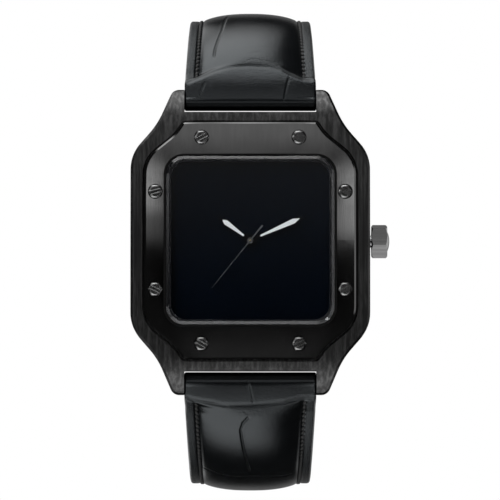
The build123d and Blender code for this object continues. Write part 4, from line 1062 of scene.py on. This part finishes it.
finishes = {
    "case_coat": lambda: coated_metal("case_brushed", 0.085, 0.34, streaks_up, 0.02, 0.32),
    "bezel_coat": lambda: coated_metal("bezel_polished", 0.15, 0.085, streaks_up, 0.0, 0.04),
    "screw_coat": lambda: coated_metal("screw_turned", 0.3, 0.2, no_streaks, 0.0, 0.1, 0.16),
    "crown_coat": lambda: coated_metal("crown_polished", 0.2, 0.1, streaks_across, 0.01, 0.1),
    "crystal_glass": crystal_glass,
    "gasket_nylon": lambda: plastic("gasket_moulded", (0.003, 0.003, 0.003), 0.6, 0.01, 3.0, 0.15),
    "dial_black": glossy_dial,
    "ring_black": lambda: plastic("ring_lacquer", (0.003, 0.003, 0.004), 0.3, 0.004, 3.0, 0.3),
    "hand_black": lambda: coated_metal("hand_gloss", 0.03, 0.18, no_streaks, 0.0),
    "hand_inlay": pale_inlay,
    "second_grey": lambda: coated_metal("second_lacquer", 0.12, 0.3, no_streaks, 0.0),
    "back_steel": lambda: ring_brushed("back_brushed", (0.45, 0.45, 0.46), 0.28),
    "plain_steel": lambda: bare_metal("steel_turned", (0.55, 0.55, 0.56), 0.25, streaks_across),
    "rubber_black": lambda: plastic("rubber_seal", (0.018, 0.018, 0.018), 0.6, 0.02, 5.0),
    "holder_plastic": lambda: plastic("holder_moulded", (0.75, 0.75, 0.72), 0.4),
    "plate_brass": lambda: bare_metal("plate_grained", (0.72, 0.6, 0.35), 0.3, no_streaks),
    "wheel_brass": lambda: bare_metal("wheel_stamped", (0.78, 0.62, 0.3), 0.22, streaks_across),
    "board_green": printed_board,
    "coil_copper": wound_wire,
    "soft_iron": lambda: bare_metal("iron_stamped", (0.3, 0.3, 0.31), 0.35, no_streaks),
    "cell_steel": lambda: ring_brushed("cell_plated", (0.7, 0.7, 0.7), 0.2),
    "strap_leather": lambda: leather("strap_embossed", leather_colour, 0.21),
    "lining_leather": lambda: leather("lining_smooth", (0.02, 0.019, 0.018), 0.5, 0.02, 2.6, False),
    "strap_foam": lambda: plastic("strap_felt", (0.1, 0.1, 0.1), 0.9, 0.1, 4.0),
    "buckle_coat": lambda: coated_metal("buckle_polished", 0.12, 0.14, streaks_up, 0.01),
}

materials = {slot: make() for slot, make in finishes.items()}


def dress(piece, slot):
    """Gives a piece the finish of a slot."""
    piece.data.materials.clear()
    piece.data.materials.append(materials[slot])
    return piece


for part in frame["record"]["subparts"]:
    node = frame["nodes"].get(part["node"])
    if node is not None:
        for holder in node.material_slots:
            holder.link = "OBJECT"
            holder.material = materials[part["material_slot"]]


# Straps, seams and keepers

short_half = Half("strap_12", Route(*short_route, 1), short_creases, short_root_line, False)
long_half = Half("strap_6", Route(*long_route, -1), long_creases, long_root_line, True)

thread_material = thread()
for strap in (short_half, long_half):
    upper = dress(upper_leather(strap), "strap_leather")
    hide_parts(strap.name + "_leather", strap.name + "_padding")
    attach(upper, strap.name)
    lower = dress(lower_lining(strap), "lining_leather")
    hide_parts(strap.name + "_lining")
    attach(lower, strap.name)
    seam = stitches(strap)
    seam.data.materials.append(thread_material)
    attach(seam, strap.name)

for name, body, distance in (
    ("fixed_keeper", "strap_12", fixed_keeper_distance),
    ("free_keeper", "keeper", free_keeper_distance),
):
    band = dress(keeper_band_piece(name + "_band", short_half, distance), "strap_leather")
    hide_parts(name)
    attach(band, body)


# Studio

def make_floor():
    """A plain pale floor that keeps the object's shadow."""
    corners = [(-floor_reach, floor_front), (floor_reach, floor_front),
               (floor_reach, floor_back), (-floor_reach, floor_back)]
    floor = mesh_object("floor", [(x, y, floor_level) for x, y in corners], [(0, 1, 2, 3)], False)
    made = Shader("floor_paper")
    fine = made.noise(0.05, 4)
    made.relief(fine, 0.05, 0.1)
    made.finish(Base_Color=made.blend(fine, grey(0.77), grey(0.8)), Roughness=0.85)
    path = made.add("ShaderNodeLightPath")
    glow = made.add("ShaderNodeEmission")
    glow.inputs["Strength"].default_value = floor_glow
    both = made.add("ShaderNodeAddShader")
    made.feed(both.inputs[0], made.surface.outputs[0])
    made.feed(both.inputs[1], glow.outputs[0])
    mix = made.add("ShaderNodeMixShader")
    made.feed(mix.inputs[0], path.outputs["Is Camera Ray"])
    made.feed(mix.inputs[1], made.surface.outputs[0])
    made.feed(mix.inputs[2], both.outputs[0])
    made.feed(made.output.inputs["Surface"], mix.outputs[0])
    floor.data.materials.append(made.material)
    floor.visible_glossy = False


class Sky(Nodes):
    """The studio round the object, as brightness by direction."""

    def __init__(self):
        world = bpy.data.worlds.new("studio")
        bpy.context.scene.world = world
        world.use_nodes = True
        super().__init__(world.node_tree)
        self.background = self.tree.nodes["Background"]
        parts = self.add("ShaderNodeSeparateXYZ")
        self.feed(parts.inputs[0], self.add("ShaderNodeTexCoord").outputs["Generated"])
        self.x, self.y, self.z = parts.outputs
        turn = self.step("ARCTAN2", self.x, self.step("MULTIPLY", self.y, -1.0))
        self.turn = self.step("MULTIPLY", turn, 180 / pi)
        self.rise = self.step("MULTIPLY", self.step("ARCSINE", self.z), 180 / pi)

    def ramp(self, value, low, high, out_low=0.0, out_high=1.0):
        """A soft step of a value."""
        return self.spread(value, low, high, out_low, out_high, smooth=True)

    def panel(self, turns, rises, soft, low_soft, strength):
        """A soft-edged panel between two turns and two rises, in degrees."""
        sides = self.step("MULTIPLY", self.ramp(self.turn, turns[0] - soft, turns[0] + soft),
                          self.ramp(self.turn, turns[1] - soft, turns[1] + soft, 1, 0))
        ends = self.step("MULTIPLY", self.ramp(self.rise, rises[0] - low_soft, rises[0] + low_soft),
                         self.ramp(self.rise, rises[1] - soft, rises[1] + soft, 1, 0))
        return self.step("MULTIPLY", self.step("MULTIPLY", sides, ends), strength)


def make_sky():
    """White paper behind, a dark front with soft panels, and the dark place of the camera."""
    sky = Sky()
    light = sky.step("ADD", sky_base, sky.panel(*first_panel))
    for panel in other_panels:
        light = sky.step("MAXIMUM", light, sky.panel(*panel))
    left = sky.ramp(sky.x, -0.02, 0.16, 0.45, 0)
    side = sky.step("ADD", left, sky.ramp(sky.x, 0.17, 0.27, 0.55, 0))
    above = sky.step("MULTIPLY", sky.ramp(sky.rise, 46, 53, 0, 2.7), side)
    above = sky.step("MULTIPLY", above, sky.ramp(sky.y, 0.05, 0.72, 1, 0))
    low = sky.ramp(sky.rise, -41, -33, 1.65, 0)
    below = sky.step("MAXIMUM", low, sky.ramp(sky.rise, -27, -23, 0.5, 0))
    below = sky.step("MULTIPLY", below, side)
    below = sky.step("MULTIPLY", below, sky.ramp(sky.y, -0.24, 0.16, 1, 0))
    light = sky.step("MAXIMUM", light, sky.step("MAXIMUM", above, below))
    light = sky.step("MAXIMUM", light, sky.ramp(sky.y, 0.78, 0.95, 0, 0.24))
    rise = sky.step("SUBTRACT", sky.rise, camera_shade_rise)
    squares = [sky.step("MULTIPLY", angle, angle) for angle in (sky.turn, rise)]
    away = sky.step("SQRT", sky.step("ADD", *squares))
    light = sky.step("MULTIPLY", light, sky.ramp(away, *camera_shade_edge))
    upper = sky.ramp(sky.rise, 2.5, 5.3, 0, 0.08)
    glow = sky.step("ADD", upper, sky.ramp(sky.rise, -13, -7, 0.085, 0))
    glow = sky.step("MULTIPLY", sky.ramp(away, *camera_shade_edge, 1, 0), glow)
    light = sky.step("ADD", light, glow)
    seen = sky.add("ShaderNodeLightPath").outputs["Is Camera Ray"]
    unseen = sky.step("SUBTRACT", 1.0, seen)
    light = sky.step("ADD", sky.step("MULTIPLY", light, unseen), seen)
    sky.feed(sky.background.inputs["Strength"], light)
    sky.feed(sky.background.inputs["Color"], (1, 1, 1, 1))


def make_lamp(name, place, target, size, power):
    """A soft square lamp."""
    light = bpy.data.lights.new(name, "AREA")
    light.size = size
    light.energy = power
    lamp = bpy.data.objects.new(name, light)
    lamp.location = place
    lamp.rotation_euler = (Vector(target) - Vector(place)).to_track_quat("-Z", "Y").to_euler()
    lamp.visible_glossy = False
    bpy.context.scene.collection.objects.link(lamp)


def make_camera():
    """The camera at the photograph's angle, a little below the middle of the watch."""
    data = bpy.data.cameras.new("camera")
    data.lens = camera_lens
    data.sensor_width = camera_sensor
    data.clip_start = 0.01
    data.clip_end = 20
    camera = bpy.data.objects.new("camera", data)
    back = Vector((0, -cos(camera_elevation), sin(camera_elevation)))
    camera.location = camera_target + back * camera_distance
    camera.rotation_euler = (-back).to_track_quat("-Z", "Y").to_euler()
    bpy.context.scene.collection.objects.link(camera)
    bpy.context.scene.camera = camera


make_floor()
make_sky()
make_lamp("key", key_place, (0, 0, 0), key_size, key_power)
make_camera()
bpy.context.scene.view_settings.view_transform = "Standard"
